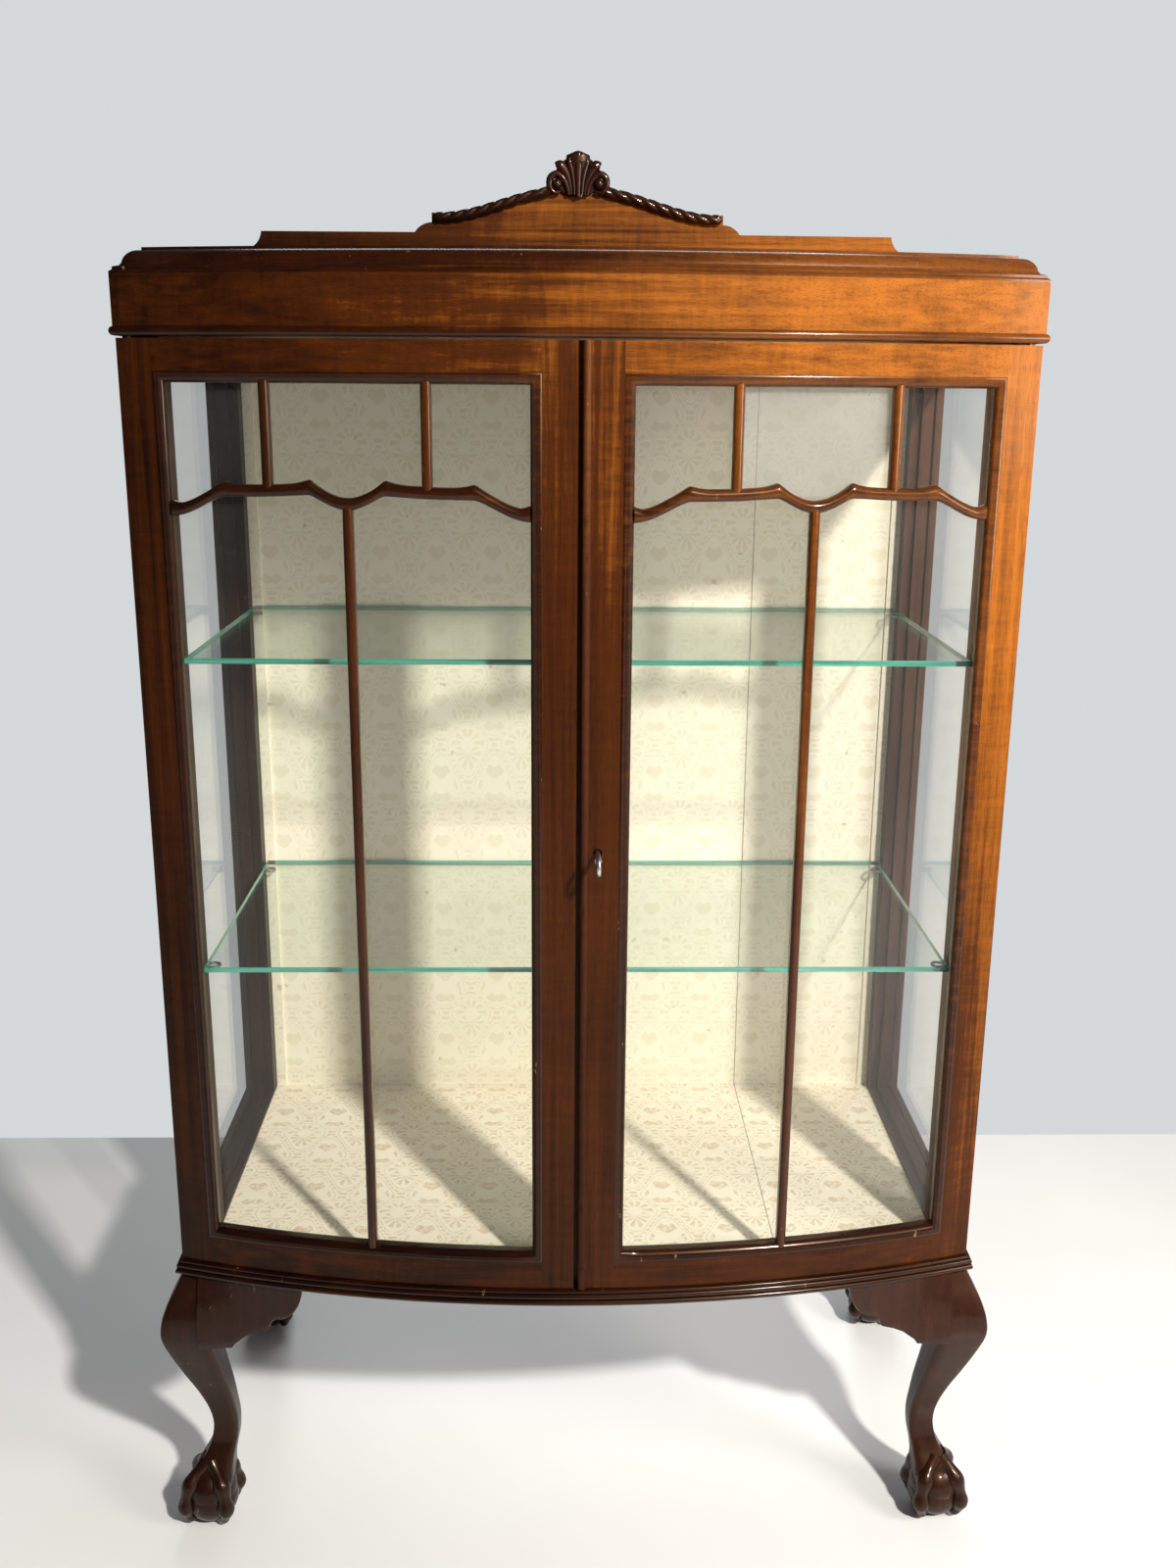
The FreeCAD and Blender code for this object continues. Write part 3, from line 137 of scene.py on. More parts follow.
def tube(path, radius_at, sides=16, flatten=1.0, up=Vector((0, 1, 0))):
    """A tube along a path; radius_at(along 0..1, angle) gives its radius."""
    rows = []
    for index, centre in enumerate(path):
        before = path[max(index - 1, 0)]
        after = path[min(index + 1, len(path) - 1)]
        tangent = (after - before).normalized()
        first = tangent.cross(up).normalized()
        second = first.cross(tangent).normalized()
        along = index / (len(path) - 1)
        row = []
        for step in range(sides):
            angle = 2 * math.pi * step / sides
            radius = radius_at(along, angle)
            row.append(centre + first * math.cos(angle) * radius
                       + second * math.sin(angle) * radius * flatten)
        rows.append(row)
    return grid(rows)


def ball(centre, radius, rings=14, sides=24, stretch=(1, 1, 1)):
    rows = []
    for ring in range(rings + 1):
        polar = math.pi * (ring + 0.02) / (rings + 0.04)
        rows.append([centre + Vector((math.sin(polar) * math.cos(2 * math.pi * s / sides) * stretch[0],
                                      math.sin(polar) * math.sin(2 * math.pi * s / sides) * stretch[1],
                                      -math.cos(polar) * stretch[2])) * radius
                     for s in range(sides)])
    return grid(rows)


def half_round(width, height, depth, steps=10):
    """A section: straight sides up from depth, then a round top. Points are (across, out)."""
    section = [(-width / 2, depth)]
    for step in range(steps + 1):
        angle = math.pi * step / steps
        section.append((-width / 2 * math.cos(angle), height * math.sin(angle)))
    section.append((width / 2, depth))
    return section


# ---------------------------------------------------------------- materials


class Nodes:
    """A short way to write a material's node tree."""

    def __init__(self, name):
        self.material = bpy.data.materials.new(name)
        self.material.use_nodes = True
        self.tree = self.material.node_tree
        self.shader = self.tree.nodes["Principled BSDF"]
        self.coordinates = self.add("ShaderNodeTexCoord").outputs["Object"]

    def add(self, kind, **settings):
        node = self.tree.nodes.new(kind)
        for name, setting in settings.items():
            setattr(node, name, setting)
        return node

    def feed(self, socket, source):
        if isinstance(source, bpy.types.NodeSocket):
            self.tree.links.new(source, socket)
        else:
            socket.default_value = source

    def math(self, operation, first, second=0.0, third=0.0):
        node = self.add("ShaderNodeMath", operation=operation)
        self.feed(node.inputs[0], first)
        self.feed(node.inputs[1], second)
        self.feed(node.inputs[2], third)
        return node.outputs[0]

    def scaled(self, scale):
        node = self.add("ShaderNodeMapping")
        self.feed(node.inputs["Vector"], self.coordinates)
        node.inputs["Scale"].default_value = scale
        return node.outputs[0]

    def noise(self, scale, detail=4.0, roughness=0.5, distortion=0.0):
        node = self.add("ShaderNodeTexNoise")
        self.feed(node.inputs["Vector"], self.scaled(scale))
        node.inputs["Scale"].default_value = 1.0
        node.inputs["Detail"].default_value = detail
        node.inputs["Roughness"].default_value = roughness
        node.inputs["Distortion"].default_value = distortion
        return node.outputs["Fac"]

    def ramp(self, source, stops):
        node = self.add("ShaderNodeValToRGB")
        elements = node.color_ramp.elements
        while len(elements) < len(stops):
            elements.new(0.5)
        for element, (position, colour) in zip(elements, stops):
            element.position = position
            element.color = tuple(colour) + (1.0,)
        self.feed(node.inputs[0], source)
        return node.outputs[0]

    def mixed(self, factor, first, second, blend="MIX"):
        node = self.add("ShaderNodeMix", data_type="RGBA", blend_type=blend)
        self.feed(node.inputs[0], factor)
        for index, source in ((6, first), (7, second)):
            if isinstance(source, tuple):
                source = tuple(source) + (1.0,)
            self.feed(node.inputs[index], source)
        return node.outputs[2]

    def bump(self, height, strength, distance):
        node = self.add("ShaderNodeBump")
        node.inputs["Strength"].default_value = strength
        node.inputs["Distance"].default_value = distance
        self.feed(node.inputs["Height"], height)
        self.feed(self.shader.inputs["Normal"], node.outputs[0])

    def split(self):
        node = self.add("ShaderNodeSeparateXYZ")
        self.feed(node.inputs[0], self.coordinates)
        return node.outputs


def along(grain, across, lengthwise):
    """Scales that stretch a pattern along one axis."""
    return tuple(lengthwise if axis == grain else across for axis in range(3))


def wood(name, grain, dark, middle, light, gloss=0.34, wear=0.0, coat=0.05):
    """Polished wood: long streaks, short flecks across them, fine pores, and painted light and shade
    that lighten it towards the right and the top.
    """
    n = Nodes(name)
    streaks = n.noise(along(grain, 120.0, 2.5), 6.0, 0.62, 0.3)
    cloud = n.noise((4.0, 4.0, 2.4), 3.0, 0.5, 0.6)
    fleck = n.noise(along(grain, 22.0, 130.0), 4.0, 0.65, 0.8)
    pores = n.noise(along(grain, 1500.0, 60.0), 2.0, 0.5)
    tone = n.math("MULTIPLY_ADD", streaks, 0.5, n.math("MULTIPLY", cloud, 0.42))
    tone = n.math("MULTIPLY_ADD", n.math("SUBTRACT", fleck, 0.5), 0.17, tone)
    # painted light and shade: the wood is painted lighter towards the right and darker towards the left,
    # and on the right lighter near the top and darker low down, as the light falls on the bow front
    axes = n.split()
    tone = n.math("MULTIPLY_ADD", axes[0], PAINTED_LIGHT_RIGHTWARD, tone)
    rightward = n.math("ADD", axes[0], HALF)
    upward = n.math("SUBTRACT", axes[2], PAINTED_LIGHT_LEVEL)
    tone = n.math("MULTIPLY_ADD", n.math("MULTIPLY", rightward, upward), PAINTED_LIGHT_UPPER_RIGHT, tone)
    colour = n.ramp(tone, [(0.26, dark), (0.5, middle), (0.76, light)])
    pore_mask = n.ramp(pores, [(0.36, (0.55, 0.5, 0.5)), (0.47, (1, 1, 1))])
    colour = n.mixed(0.8, colour, pore_mask, "MULTIPLY")
    if wear:
        chips = n.noise((70.0, 70.0, 28.0), 6.0, 0.7)
        mask = n.ramp(chips, [(0.66, (0, 0, 0)), (0.70, (wear, wear, wear))])
        colour = n.mixed(mask, colour, (0.42, 0.24, 0.13))
    n.feed(n.shader.inputs["Base Color"], colour)
    rough = n.math("MULTIPLY_ADD", cloud, 0.22, gloss)
    n.feed(n.shader.inputs["Roughness"], rough)
    n.shader.inputs["Coat Weight"].default_value = coat
    n.shader.inputs["Coat Roughness"].default_value = 0.12
    n.shader.inputs["Specular IOR Level"].default_value = 0.2
    n.shader.inputs["Specular Tint"].default_value = (1.0, 0.66, 0.42, 1.0)
    n.bump(pores, 0.12, 0.0004)
    return n.material


def sheen_factor(n, least):
    """How much a glass face mirrors: little face on, much at a grazing angle."""
    facing = n.add("ShaderNodeLayerWeight").outputs["Facing"]
    return n.math("MULTIPLY_ADD", n.math("POWER", facing, 5.0), 0.75, least)


def clear_glass(name, tint, dust, grime=0.0):
    """Clear panes: see-through with a sharp sheen and a little dust, more on one small pane."""
    n = Nodes(name)
    clear = n.add("ShaderNodeBsdfTransparent")
    smudge = n.noise((7.0, 7.0, 4.0), 5.0, 0.65)
    n.feed(clear.inputs["Color"], n.mixed(smudge, tint, (0.995, 0.995, 0.99)))
    sheen = n.add("ShaderNodeBsdfGlossy")
    sheen.inputs["Roughness"].default_value = 0.03
    pane = n.add("ShaderNodeMixShader")
    n.feed(pane.inputs[0], sheen_factor(n, 0.025))
    n.tree.links.new(clear.outputs[0], pane.inputs[1])
    n.tree.links.new(sheen.outputs[0], pane.inputs[2])
    film = n.add("ShaderNodeBsdfDiffuse")
    film.inputs["Color"].default_value = (0.45, 0.47, 0.46, 1.0)
    whole = n.add("ShaderNodeMixShader")
    axes = n.split()
    small_pane = n.math("MULTIPLY", n.math("COMPARE", axes[0], DOOR_MIDDLE, BAR_SPACING - 0.002),
                        n.math("GREATER_THAN", axes[2], 1.25))
    film_weight = n.math("MULTIPLY_ADD", small_pane, grime, dust)
    n.feed(whole.inputs[0], n.math("MULTIPLY", smudge, film_weight))
    n.tree.links.new(pane.outputs[0], whole.inputs[1])
    n.tree.links.new(film.outputs[0], whole.inputs[2])
    n.tree.links.new(whole.outputs[0], n.tree.nodes["Material Output"].inputs[0])
    return n.material


def shelf_glass(name):
    """Plate glass: nearly clear faces, and edges that look green."""
    n = Nodes(name)
    clear = n.add("ShaderNodeBsdfTransparent")
    clear.inputs["Color"].default_value = (0.955, 0.985, 0.972, 1.0)
    sheen = n.add("ShaderNodeBsdfGlossy")
    sheen.inputs["Roughness"].default_value = 0.02
    face = n.add("ShaderNodeMixShader")
    n.feed(face.inputs[0], sheen_factor(n, 0.03))
    n.tree.links.new(clear.outputs[0], face.inputs[1])
    n.tree.links.new(sheen.outputs[0], face.inputs[2])
    shade = n.noise((6.0, 6.0, 300.0), 2.0)
    green = n.ramp(shade, [(0.3, (0.02, 0.16, 0.11)), (0.7, (0.10, 0.42, 0.32))])
    n.feed(n.shader.inputs["Base Color"], green)
    n.shader.inputs["Roughness"].default_value = 0.08
    normal = n.add("ShaderNodeNewGeometry").outputs["Normal"]
    parts = n.add("ShaderNodeSeparateXYZ")
    n.feed(parts.inputs[0], normal)
    level = n.math("GREATER_THAN", n.math("ABSOLUTE", parts.outputs[2]), 0.5)
    whole = n.add("ShaderNodeMixShader")
    n.feed(whole.inputs[0], level)
    n.tree.links.new(n.shader.outputs[0], whole.inputs[1])
    n.tree.links.new(face.outputs[0], whole.inputs[2])
    n.tree.links.new(whole.outputs[0], n.tree.nodes["Material Output"].inputs[0])
    return n.material


def damask(name, upright, thread, wear):
    """Woven lining: an ogee lattice with a small palmette in each cell, tone on tone."""
    n = Nodes(name)
    axes = n.split()
    high = axes[2] if upright else axes[1]
    u = n.math("MULTIPLY", axes[0], 2 * math.pi / 0.072)
    v = n.math("MULTIPLY", high, 2 * math.pi / 0.098)
    # the sides of each cell swing in and out like an ogee
    swing = n.math("MULTIPLY", n.math("SINE", n.math("MULTIPLY", v, 2.0)), 0.22)
    lattice = n.math("ADD", n.math("COSINE", u), n.math("ADD", n.math("COSINE", v), swing))
    broken = n.math("GREATER_THAN", n.math("SINE", n.math("MULTIPLY", high, 2 * math.pi / 0.0075)), -0.4)
    band = n.math("MULTIPLY", n.math("LESS_THAN", n.math("ABSOLUTE", lattice), 0.13), broken)
    double = n.math("COMPARE", n.math("ABSOLUTE", lattice), 0.36, 0.04)
    # a palmette: petals that fan from the foot of each cell
    half_u = n.math("PINGPONG", axes[0], 0.036)
    cell_v = n.math("PINGPONG", high, 0.049)
    angle = n.math("ARCTAN2", n.math("SUBTRACT", cell_v, 0.008), n.math("ADD", half_u, 0.0006))
    petals = n.math("GREATER_THAN", n.math("COSINE", n.math("MULTIPLY", angle, 10.0)), -0.1)
    size = n.math("ABSOLUTE", lattice)
    inside = n.math("MULTIPLY", n.math("GREATER_THAN", size, 0.75), n.math("LESS_THAN", size, 1.75))
    motif = n.math("MULTIPLY", petals, inside)
    figure = n.math("MAXIMUM", n.math("MAXIMUM", band, double), motif)
    weave = n.noise((900.0, 900.0, 900.0), 2.0)
    stain = n.noise((5.0, 5.0, 5.0), 5.0, 0.6)
    spots = n.noise((60.0, 60.0, 60.0), 2.0)
    flakes = n.noise((260.0, 260.0, 260.0), 4.0, 0.75)
    patchy = n.ramp(flakes, [(0.48, (1, 1, 1)), (0.58, (0, 0, 0))])
    worn = n.math("MULTIPLY", figure, n.math("MULTIPLY_ADD", patchy, wear, 1 - wear))
    ground = n.mixed(stain, (0.92, 0.87, 0.73), (0.86, 0.79, 0.62))
    colour = n.mixed(worn, ground, thread)
    spot_mask = n.ramp(spots, [(0.72, (0, 0, 0)), (0.76, (0.5, 0.5, 0.5))])
    colour = n.mixed(spot_mask, colour, (0.42, 0.33, 0.22))
    n.feed(n.shader.inputs["Base Color"], colour)
    n.feed(n.shader.inputs["Roughness"], n.math("MULTIPLY_ADD", worn, -0.15, 0.85))
    n.bump(n.math("ADD", weave, figure), 0.25, 0.0006)
    return n.material


def metal(name, dark, light, roughness):
    n = Nodes(name)
    tarnish = n.noise((160.0, 160.0, 160.0), 5.0, 0.6)
    n.feed(n.shader.inputs["Base Color"], n.ramp(tarnish, [(0.35, dark), (0.65, light)]))
    n.shader.inputs["Metallic"].default_value = 1.0
    n.feed(n.shader.inputs["Roughness"], n.math("MULTIPLY_ADD", tarnish, 0.25, roughness))
    n.bump(tarnish, 0.1, 0.0003)
    return n.material


def plaster(name, first, second, roughness):
    n = Nodes(name)
    cloud = n.noise((1.3, 1.3, 1.3), 4.0, 0.6)
    n.feed(n.shader.inputs["Base Color"], n.ramp(cloud, [(0.3, first), (0.7, second)]))
    n.shader.inputs["Roughness"].default_value = roughness
    return n.material


# painted light and shade in the wood: how much it lightens towards the right, how much more towards the
# upper right, and the level below which that turns to painted shade
PAINTED_LIGHT_RIGHTWARD = 0.38
PAINTED_LIGHT_UPPER_RIGHT = 0.36
PAINTED_LIGHT_LEVEL = 1.0
DARK = (0.009, 0.0018, 0.0007)
MIDDLE = (0.058, 0.0125, 0.0011)
LIGHT = (0.34, 0.100, 0.008)
upright_wood = wood("mahogany_upright", 2, DARK, MIDDLE, LIGHT)
level_wood = wood("mahogany_level", 0, DARK, MIDDLE, LIGHT)
deep_wood = wood("mahogany_deep", 1, DARK, MIDDLE, LIGHT)
trim_wood = wood("mahogany_trim", 0, (0.006, 0.0014, 0.0006), (0.027, 0.0060, 0.0014),
                 (0.150, 0.042, 0.0050), 0.18, 0.5, 0.35)
trim_upright = wood("mahogany_trim_upright", 2, (0.010, 0.0024, 0.0010), (0.062, 0.0150, 0.0024),
                    (0.25, 0.075, 0.009), 0.2, 0.35, 0.35)
carved_wood = wood("carved_mahogany", 2, (0.012, 0.0032, 0.0018), (0.034, 0.0090, 0.0045),
                   (0.080, 0.024, 0.010), 0.3, 0.25, 0.25)
dark_carving = wood("dark_carving", 0, (0.006, 0.0018, 0.0012), (0.014, 0.0040, 0.0024),
                    (0.034, 0.0095, 0.0048), 0.24, 0.0, 0.45)
rail_wood = wood("side_frame_wood", 2, (0.014, 0.006, 0.004), (0.042, 0.017, 0.011),
                 (0.10, 0.045, 0.026), 0.4, 0.2, 0.1)
worn_bead = wood("worn_bead_wood", 2, (0.010, 0.0028, 0.0016), (0.055, 0.0145, 0.005),
                 (0.20, 0.065, 0.012), 0.5, 0.5, 0.0)
plain_wood = wood("inner_wood", 0, (0.09, 0.045, 0.02), (0.17, 0.09, 0.045),
                  (0.27, 0.16, 0.085), 0.55, 0.0, 0.0)
panel_wood = wood("back_board_wood", 2, (0.20, 0.12, 0.065), (0.33, 0.22, 0.12),
                  (0.45, 0.32, 0.19), 0.6, 0.0, 0.0)
pane_glass = clear_glass("pane_glass", (0.985, 0.988, 0.982), 0.035)
dusty_glass = clear_glass("dusty_pane_glass", (0.985, 0.988, 0.982), 0.045, 0.25)
plate_glass = shelf_glass("plate_glass")
back_damask = damask("damask_upright", True, (0.80, 0.73, 0.55), 0.3)
floor_damask = damask("damask_level", False, (0.70, 0.58, 0.40), 0.85)
brass = metal("aged_brass", (0.30, 0.20, 0.08), (0.62, 0.46, 0.21), 0.28)
key_steel = metal("key_steel", (0.35, 0.35, 0.34), (0.72, 0.71, 0.69), 0.2)
dark_steel = metal("dark_steel", (0.10, 0.10, 0.10), (0.30, 0.30, 0.30), 0.3)

NODE_MATERIALS = {
    upright_wood: ["left_front_post", "right_front_post", "left_door_hinge_stile",
                   "right_door_hinge_stile", "left_door_meeting_stile", "right_door_meeting_stile"],
    level_wood: ["left_door_top_rail", "right_door_top_rail", "left_door_bottom_rail",
                 "right_door_bottom_rail", "frieze_front", "bottom_board",
                 "top_board", "gallery_board", "cornice_top"],
    deep_wood: ["frieze_returns"],
    trim_wood: ["cornice_front", "cornice_returns", "plinth_moulding_front",
                "plinth_moulding_returns", "frieze_bead", "left_door_mouldings",
                "right_door_mouldings", "left_door_wavy_bar", "right_door_wavy_bar"],
    worn_bead: ["meeting_bead"],
    trim_upright: ["left_door_upright_bars", "right_door_upright_bars"],
    carved_wood: ["front_left_leg", "front_right_leg", "rear_left_leg", "rear_right_leg",
                  "knee_brackets"],
    dark_carving: ["rope_mouldings", "shell_carving"],
    rail_wood: ["left_rear_post", "right_rear_post", "side_rails", "side_glazing_beads"],
    plain_wood: ["inner_floor", "frieze_back_rail"],
    panel_wood: ["back_panel"],
    pane_glass: ["left_door_panes", "side_panes"],
    dusty_glass: ["right_door_panes"],
    plate_glass: ["upper_shelf", "lower_shelf"],
    back_damask: ["back_lining"],
    floor_damask: ["floor_lining"],
    brass: ["carcass_pivot_plates", "left_door_pivot_sockets", "right_door_pivot_sockets",
            "lock_case", "lock_bolt", "lock_keeper", "left_door_top_bolt",
            "left_door_bottom_bolt", "left_door_bolt_guides"],
    dark_steel: ["shelf_screw_eyes"],
    key_steel: ["key"],
}
for material, names in NODE_MATERIALS.items():
    for node_name in names:
        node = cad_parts[node_name]
        for holder in node.material_slots:
            holder.link = "OBJECT"
            holder.material = material

# ---------------------------------------------------------------- door mouldings


def framed_section(section, low, high, near=FLAT_INNER, far=STILE_INNER):
    """A moulding mitred round a door's opening; section points are (inset, out)."""
    steps = 16
    rows = []
    corners = []
    for inset, out in section:
        loop = []
        left, right = near + inset, far - inset
        bottom, top = low + inset, high - inset
        for step in range(steps):
            x = left + (right - left) * step / steps
            loop.append(Vector((x, bow_y(x, out), bottom)))
        loop.append(Vector((right, bow_y(right, out), bottom)))
        for step in range(steps):
            x = right + (left - right) * step / steps
            loop.append(Vector((x, bow_y(x, out), top)))
        loop.append(Vector((left, bow_y(left, out), top)))
        rows.append(loop)
    return grid(rows, closed_rows=True)


def moulding_section():
    """A small step, then an ovolo that falls towards the glass."""
    section = [(0.0, -0.0132), (0.0, 0.0002), (0.0012, 0.0008), (0.0022, 0.0008)]
    reach = MOULDING - 0.0026
    for step in range(9):
        angle = math.pi / 2 * step / 8
        section.append((0.0026 + reach * math.sin(angle), 0.0006 - 0.0075 * (1 - math.cos(angle))))
    section.append((MOULDING, -0.0132))
    return section


def make_door_mouldings(side, word):
    bead = [(0.0, -0.0167), (0.008, -0.0167), (0.008, -0.0196), (0.006, -0.0216), (0.0, -0.0216)]
    both = joined([framed_section(section, GLASS_BOTTOM, GLASS_TOP)
                   for section in (moulding_section(), bead)])
    points, faces = flipped(both, side)
    piece = new_mesh(word + "_moulding_round_glass", points, faces, word + "_door", trim_wood)
    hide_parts(word + "_door_mouldings")


BAR_HALF_SPAN = 0.181
OUTER_CUSP = 0.126
INNER_CUSP = 0.038


def bar_edges(t):
    """Lower and upper level of the wavy bar at a signed distance from the door's middle."""
    d = abs(t)
    if d > OUTER_CUSP:
        s = (d - OUTER_CUSP) / (BAR_HALF_SPAN - OUTER_CUSP)
        middle = 1.2515 - 0.0205 * math.sin(s * math.pi / 2) ** 1.35
        thick = 0.0118 + 0.0034 * max(0.0, 1 - s * 3) ** 2 + 0.004 * max(0.0, s * 6 - 5)
    elif d > INNER_CUSP:
        s = (d - INNER_CUSP) / (OUTER_CUSP - INNER_CUSP)
        middle = 1.2545 - 0.003 * s - 0.0012 * math.sin(math.pi * s)
        near_cusp = max(0.0, 1 - s * 4) ** 2 + max(0.0, s * 4 - 3) ** 2
        thick = 0.0118 + 0.0034 * near_cusp
    else:
        s = 1 - d / INNER_CUSP
        middle = 1.2545 - 0.0145 * math.sin(s * math.pi / 2) ** 1.2
        thick = 0.0118 + 0.0034 * max(0.0, 1 - s * 2.4) ** 2
    extra = thick - 0.0118
    return middle - 0.0059 - 0.1 * extra, middle + 0.0059 + 0.9 * extra


def make_wavy_bar(side, word):
    rows = []
    steps = 181
    for step in range(steps + 1):
        t = -BAR_HALF_SPAN + 2 * BAR_HALF_SPAN * step / steps
        low, high = bar_edges(t)
        x = DOOR_MIDDLE + t
        row = []
        for across, out in half_round(high - low, 0.0058, BAR_ROOT, 10):
            level = (low + high) / 2 + across
            row.append(Vector((x, bow_y(x, out - BAR_SINK), level)))
        rows.append(row)
    points, faces = flipped(grid(rows), side)
    piece = new_mesh(word + "_carved_wavy_bar", points, faces, word + "_door", trim_wood, sharp=40)
    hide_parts(word + "_door_wavy_bar")


def upright_bar(x, low, high):
    rows = []
    for level in (low, high):
        rows.append([Vector((x + across, bow_y(x + across, out - BAR_SINK), level))
                     for across, out in half_round(0.0105, 0.0052, BAR_ROOT)])
    return grid(rows)


def make_upright_bars(side, word):
    overlap = 0.003
    buried = 0.004
    low = GLASS_BOTTOM + MOULDING - overlap
    high = GLASS_TOP - MOULDING + overlap
    start = bar_edges(BAR_SPACING)[1] - buried
    parts = [upright_bar(DOOR_MIDDLE - BAR_SPACING, start, high),
             upright_bar(DOOR_MIDDLE + BAR_SPACING, start, high),
             upright_bar(DOOR_MIDDLE, low, bar_edges(0.0)[0] + buried)]
    points, faces = flipped(joined(parts), side)
    piece = new_mesh(word + "_rounded_bars", points, faces, word + "_door", trim_upright)
    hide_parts(word + "_door_upright_bars")


def make_meeting_bead():
    """The round bead down the right door's edge, with small knocks."""
    rows = []
    steps = 260
    for step in range(steps + 1):
        level = DOOR_BOTTOM + (DOOR_TOP - DOOR_BOTTOM) * step / steps
        row = []
        for across, out in half_round(0.0088, 0.004, -0.0001, 8):
            x = 0.0041 + across
            knock = max(0.0, noise.noise(Vector((across * 200, 3.0, level * 60))) - 0.38)
            row.append(Vector((x, bow_y(x, out * (1 - 1.4 * knock)), level)))
        rows.append(row)
    points, faces = grid(rows)
    piece = new_mesh("round_meeting_bead", points, faces, "right_door", worn_bead)
    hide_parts("meeting_bead")


# ---------------------------------------------------------------- mouldings round the carcass


def round_carcass(section):
    """A moulding along both sides and the bowed front; section points are (out, level)."""
    steps = 40
    rows = []
    for out, level in section:
        row = [Vector((-(HALF + out), BACK, level))]
        front_x = HALF + out
        for step in range(steps + 1):
            x = -front_x + 2 * front_x * step / steps
            row.append(Vector((x, bow_y(x, out), level)))
        row.append(Vector((HALF + out, BACK, level)))
        rows.append(row)
    return grid(rows, closed_rows=True, closed_around=False)


def bulge(low, high, start, rise, steps=7):
    """Half-round points between two levels, as (out, level)."""
    middle, half = (low + high) / 2, (high - low) / 2
    return [(start + rise * math.sin(math.pi * step / steps),
             middle - half * math.cos(math.pi * step / steps)) for step in range(steps + 1)]


def make_carcass_mouldings():
    low = LEG_HEIGHT
    reeds = bulge(low, low + 0.007, 0.0045, 0.0035)
    reeds += bulge(low + 0.007, low + 0.0136, 0.0036, 0.0029)
    reeds += bulge(low + 0.0136, low + 0.0176, 0.0026, 0.0016)
    section = [(0.0002, low)] + reeds + [(0.0002, low + 0.0176)]
    points, faces = round_carcass(section)
    piece = new_mesh("reeded_plinth", points, faces, "carcass", trim_wood, sharp=35)
    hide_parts("plinth_moulding_front", "plinth_moulding_returns")
    section = [(0.0002, CEILING)] + bulge(CEILING, CEILING + 0.009, 0.0015, 0.004)
    section.append((0.0002, CEILING + 0.009))
    points, faces = round_carcass(section)
    piece = new_mesh("round_frieze_bead", points, faces, "carcass", trim_wood, sharp=35)
    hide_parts("frieze_bead")


# ---------------------------------------------------------------- legs

LEG_TEMPLATE = [
    (350, 1, 33), (334, 9, 33), (316, 18, 33), (295, 24.8, 33), (275, 25.7, 33),
    (250, 19, 33.5), (212, 6, 38), (182, -5, 42), (152, -14, 45), (128, -17.5, 47),
    (106, -15, 46), (90, -8, 43), (74, 2, 41), (58, 10, 41), (44, 12, 38),
]
FOOT_INSIDE = 0.012
BALL_CENTRE = 0.0300
BALL_RADIUS = 0.0325
WEB_CENTRE = 0.0415
WEB_RADIUS = 0.0315


def leg_ring(level, outside, inside):
    """A rounded square with a crisp ridge on its outer corner, about the leg's corner."""
    sides = 56
    half = (outside + inside) / 2
    middle = (outside - inside) / 2
    row = []
    for step in range(sides):
        angle = 2 * math.pi * step / sides
        direction = Vector((math.cos(angle), math.sin(angle)))
        outward = max(0.0, direction.dot(Vector((math.sqrt(0.5), -math.sqrt(0.5)))))
        power = 5.0 + 12.0 * outward ** 8
        size = (abs(direction.x) ** power + abs(direction.y) ** power) ** (-1 / power)
        row.append(Vector((middle + half * direction.x * size,
                           -middle + half * direction.y * size, level)))
    return row


def toe(heading, size=1.0):
    """A jointed claw over the ball, in the upright plane of its heading."""
    knots = []
    for angle, reach in ((84, 0.048), (62, 0.042), (40, 0.0375), (18, 0.0352), (-4, 0.0346),
                         (-24, 0.0350), (-40, 0.0335)):
        turn = math.radians(angle)
        out = reach * math.cos(turn)
        knots.append(Vector((out * math.cos(heading), out * math.sin(heading),
                             reach * math.sin(turn))))
    path = smooth_path(knots, 7)
    centre = Vector((-FOOT_INSIDE, FOOT_INSIDE, BALL_CENTRE))

    def radius_at(along_toe, angle):
        knuckles = 0.0015 * math.cos(along_toe * 6 * math.pi + 0.6)
        taper = 1 - 0.6 * max(0.0, along_toe - 0.70) / 0.30
        return (0.0092 + knuckles) * taper * size

    upwards = Vector((-math.sin(heading), math.cos(heading), 0))
    return tube([centre + point for point in path], radius_at, 12, 1.0, upwards)


def leg_part():
    """The front right leg about its corner of the carcass."""
    knots = [Vector((level, outside, inside)) / 1000 for level, outside, inside in LEG_TEMPLATE]
    shank = grid([leg_ring(k.x, k.y, k.z) for k in reversed(smooth_path(knots, 5))])
    centre = Vector((-FOOT_INSIDE, FOOT_INSIDE, BALL_CENTRE))
    foot = ball(centre, BALL_RADIUS, 16, 32, (1, 1, BALL_CENTRE / BALL_RADIUS))
    web = ball(Vector((-FOOT_INSIDE, FOOT_INSIDE, WEB_CENTRE)), WEB_RADIUS, 16, 32)
    toes = [toe(math.radians(50 + 90 * quarter)) for quarter in range(4)]
    return joined([shank, foot, web] + toes)


def make_legs():
    part = leg_part()
    for side, word in ((1, "right"), (-1, "left")):
        for front, place in ((1, "front"), (-1, "rear")):
            points, faces = part
            corner_y = CORNER_Y if front > 0 else BACK
            moved = [Vector((HALF + p.x, corner_y + front * p.y, max(p.z, 0.0))) for p in points]
            turned = faces if front > 0 else [tuple(reversed(face)) for face in faces]
            points, faces = flipped((moved, turned), side)
            piece = new_mesh("%s_%s_cabriole" % (place, word), points, faces, "carcass", carved_wood)
            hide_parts("%s_%s_leg" % (place, word))


# ---------------------------------------------------------------- knee brackets

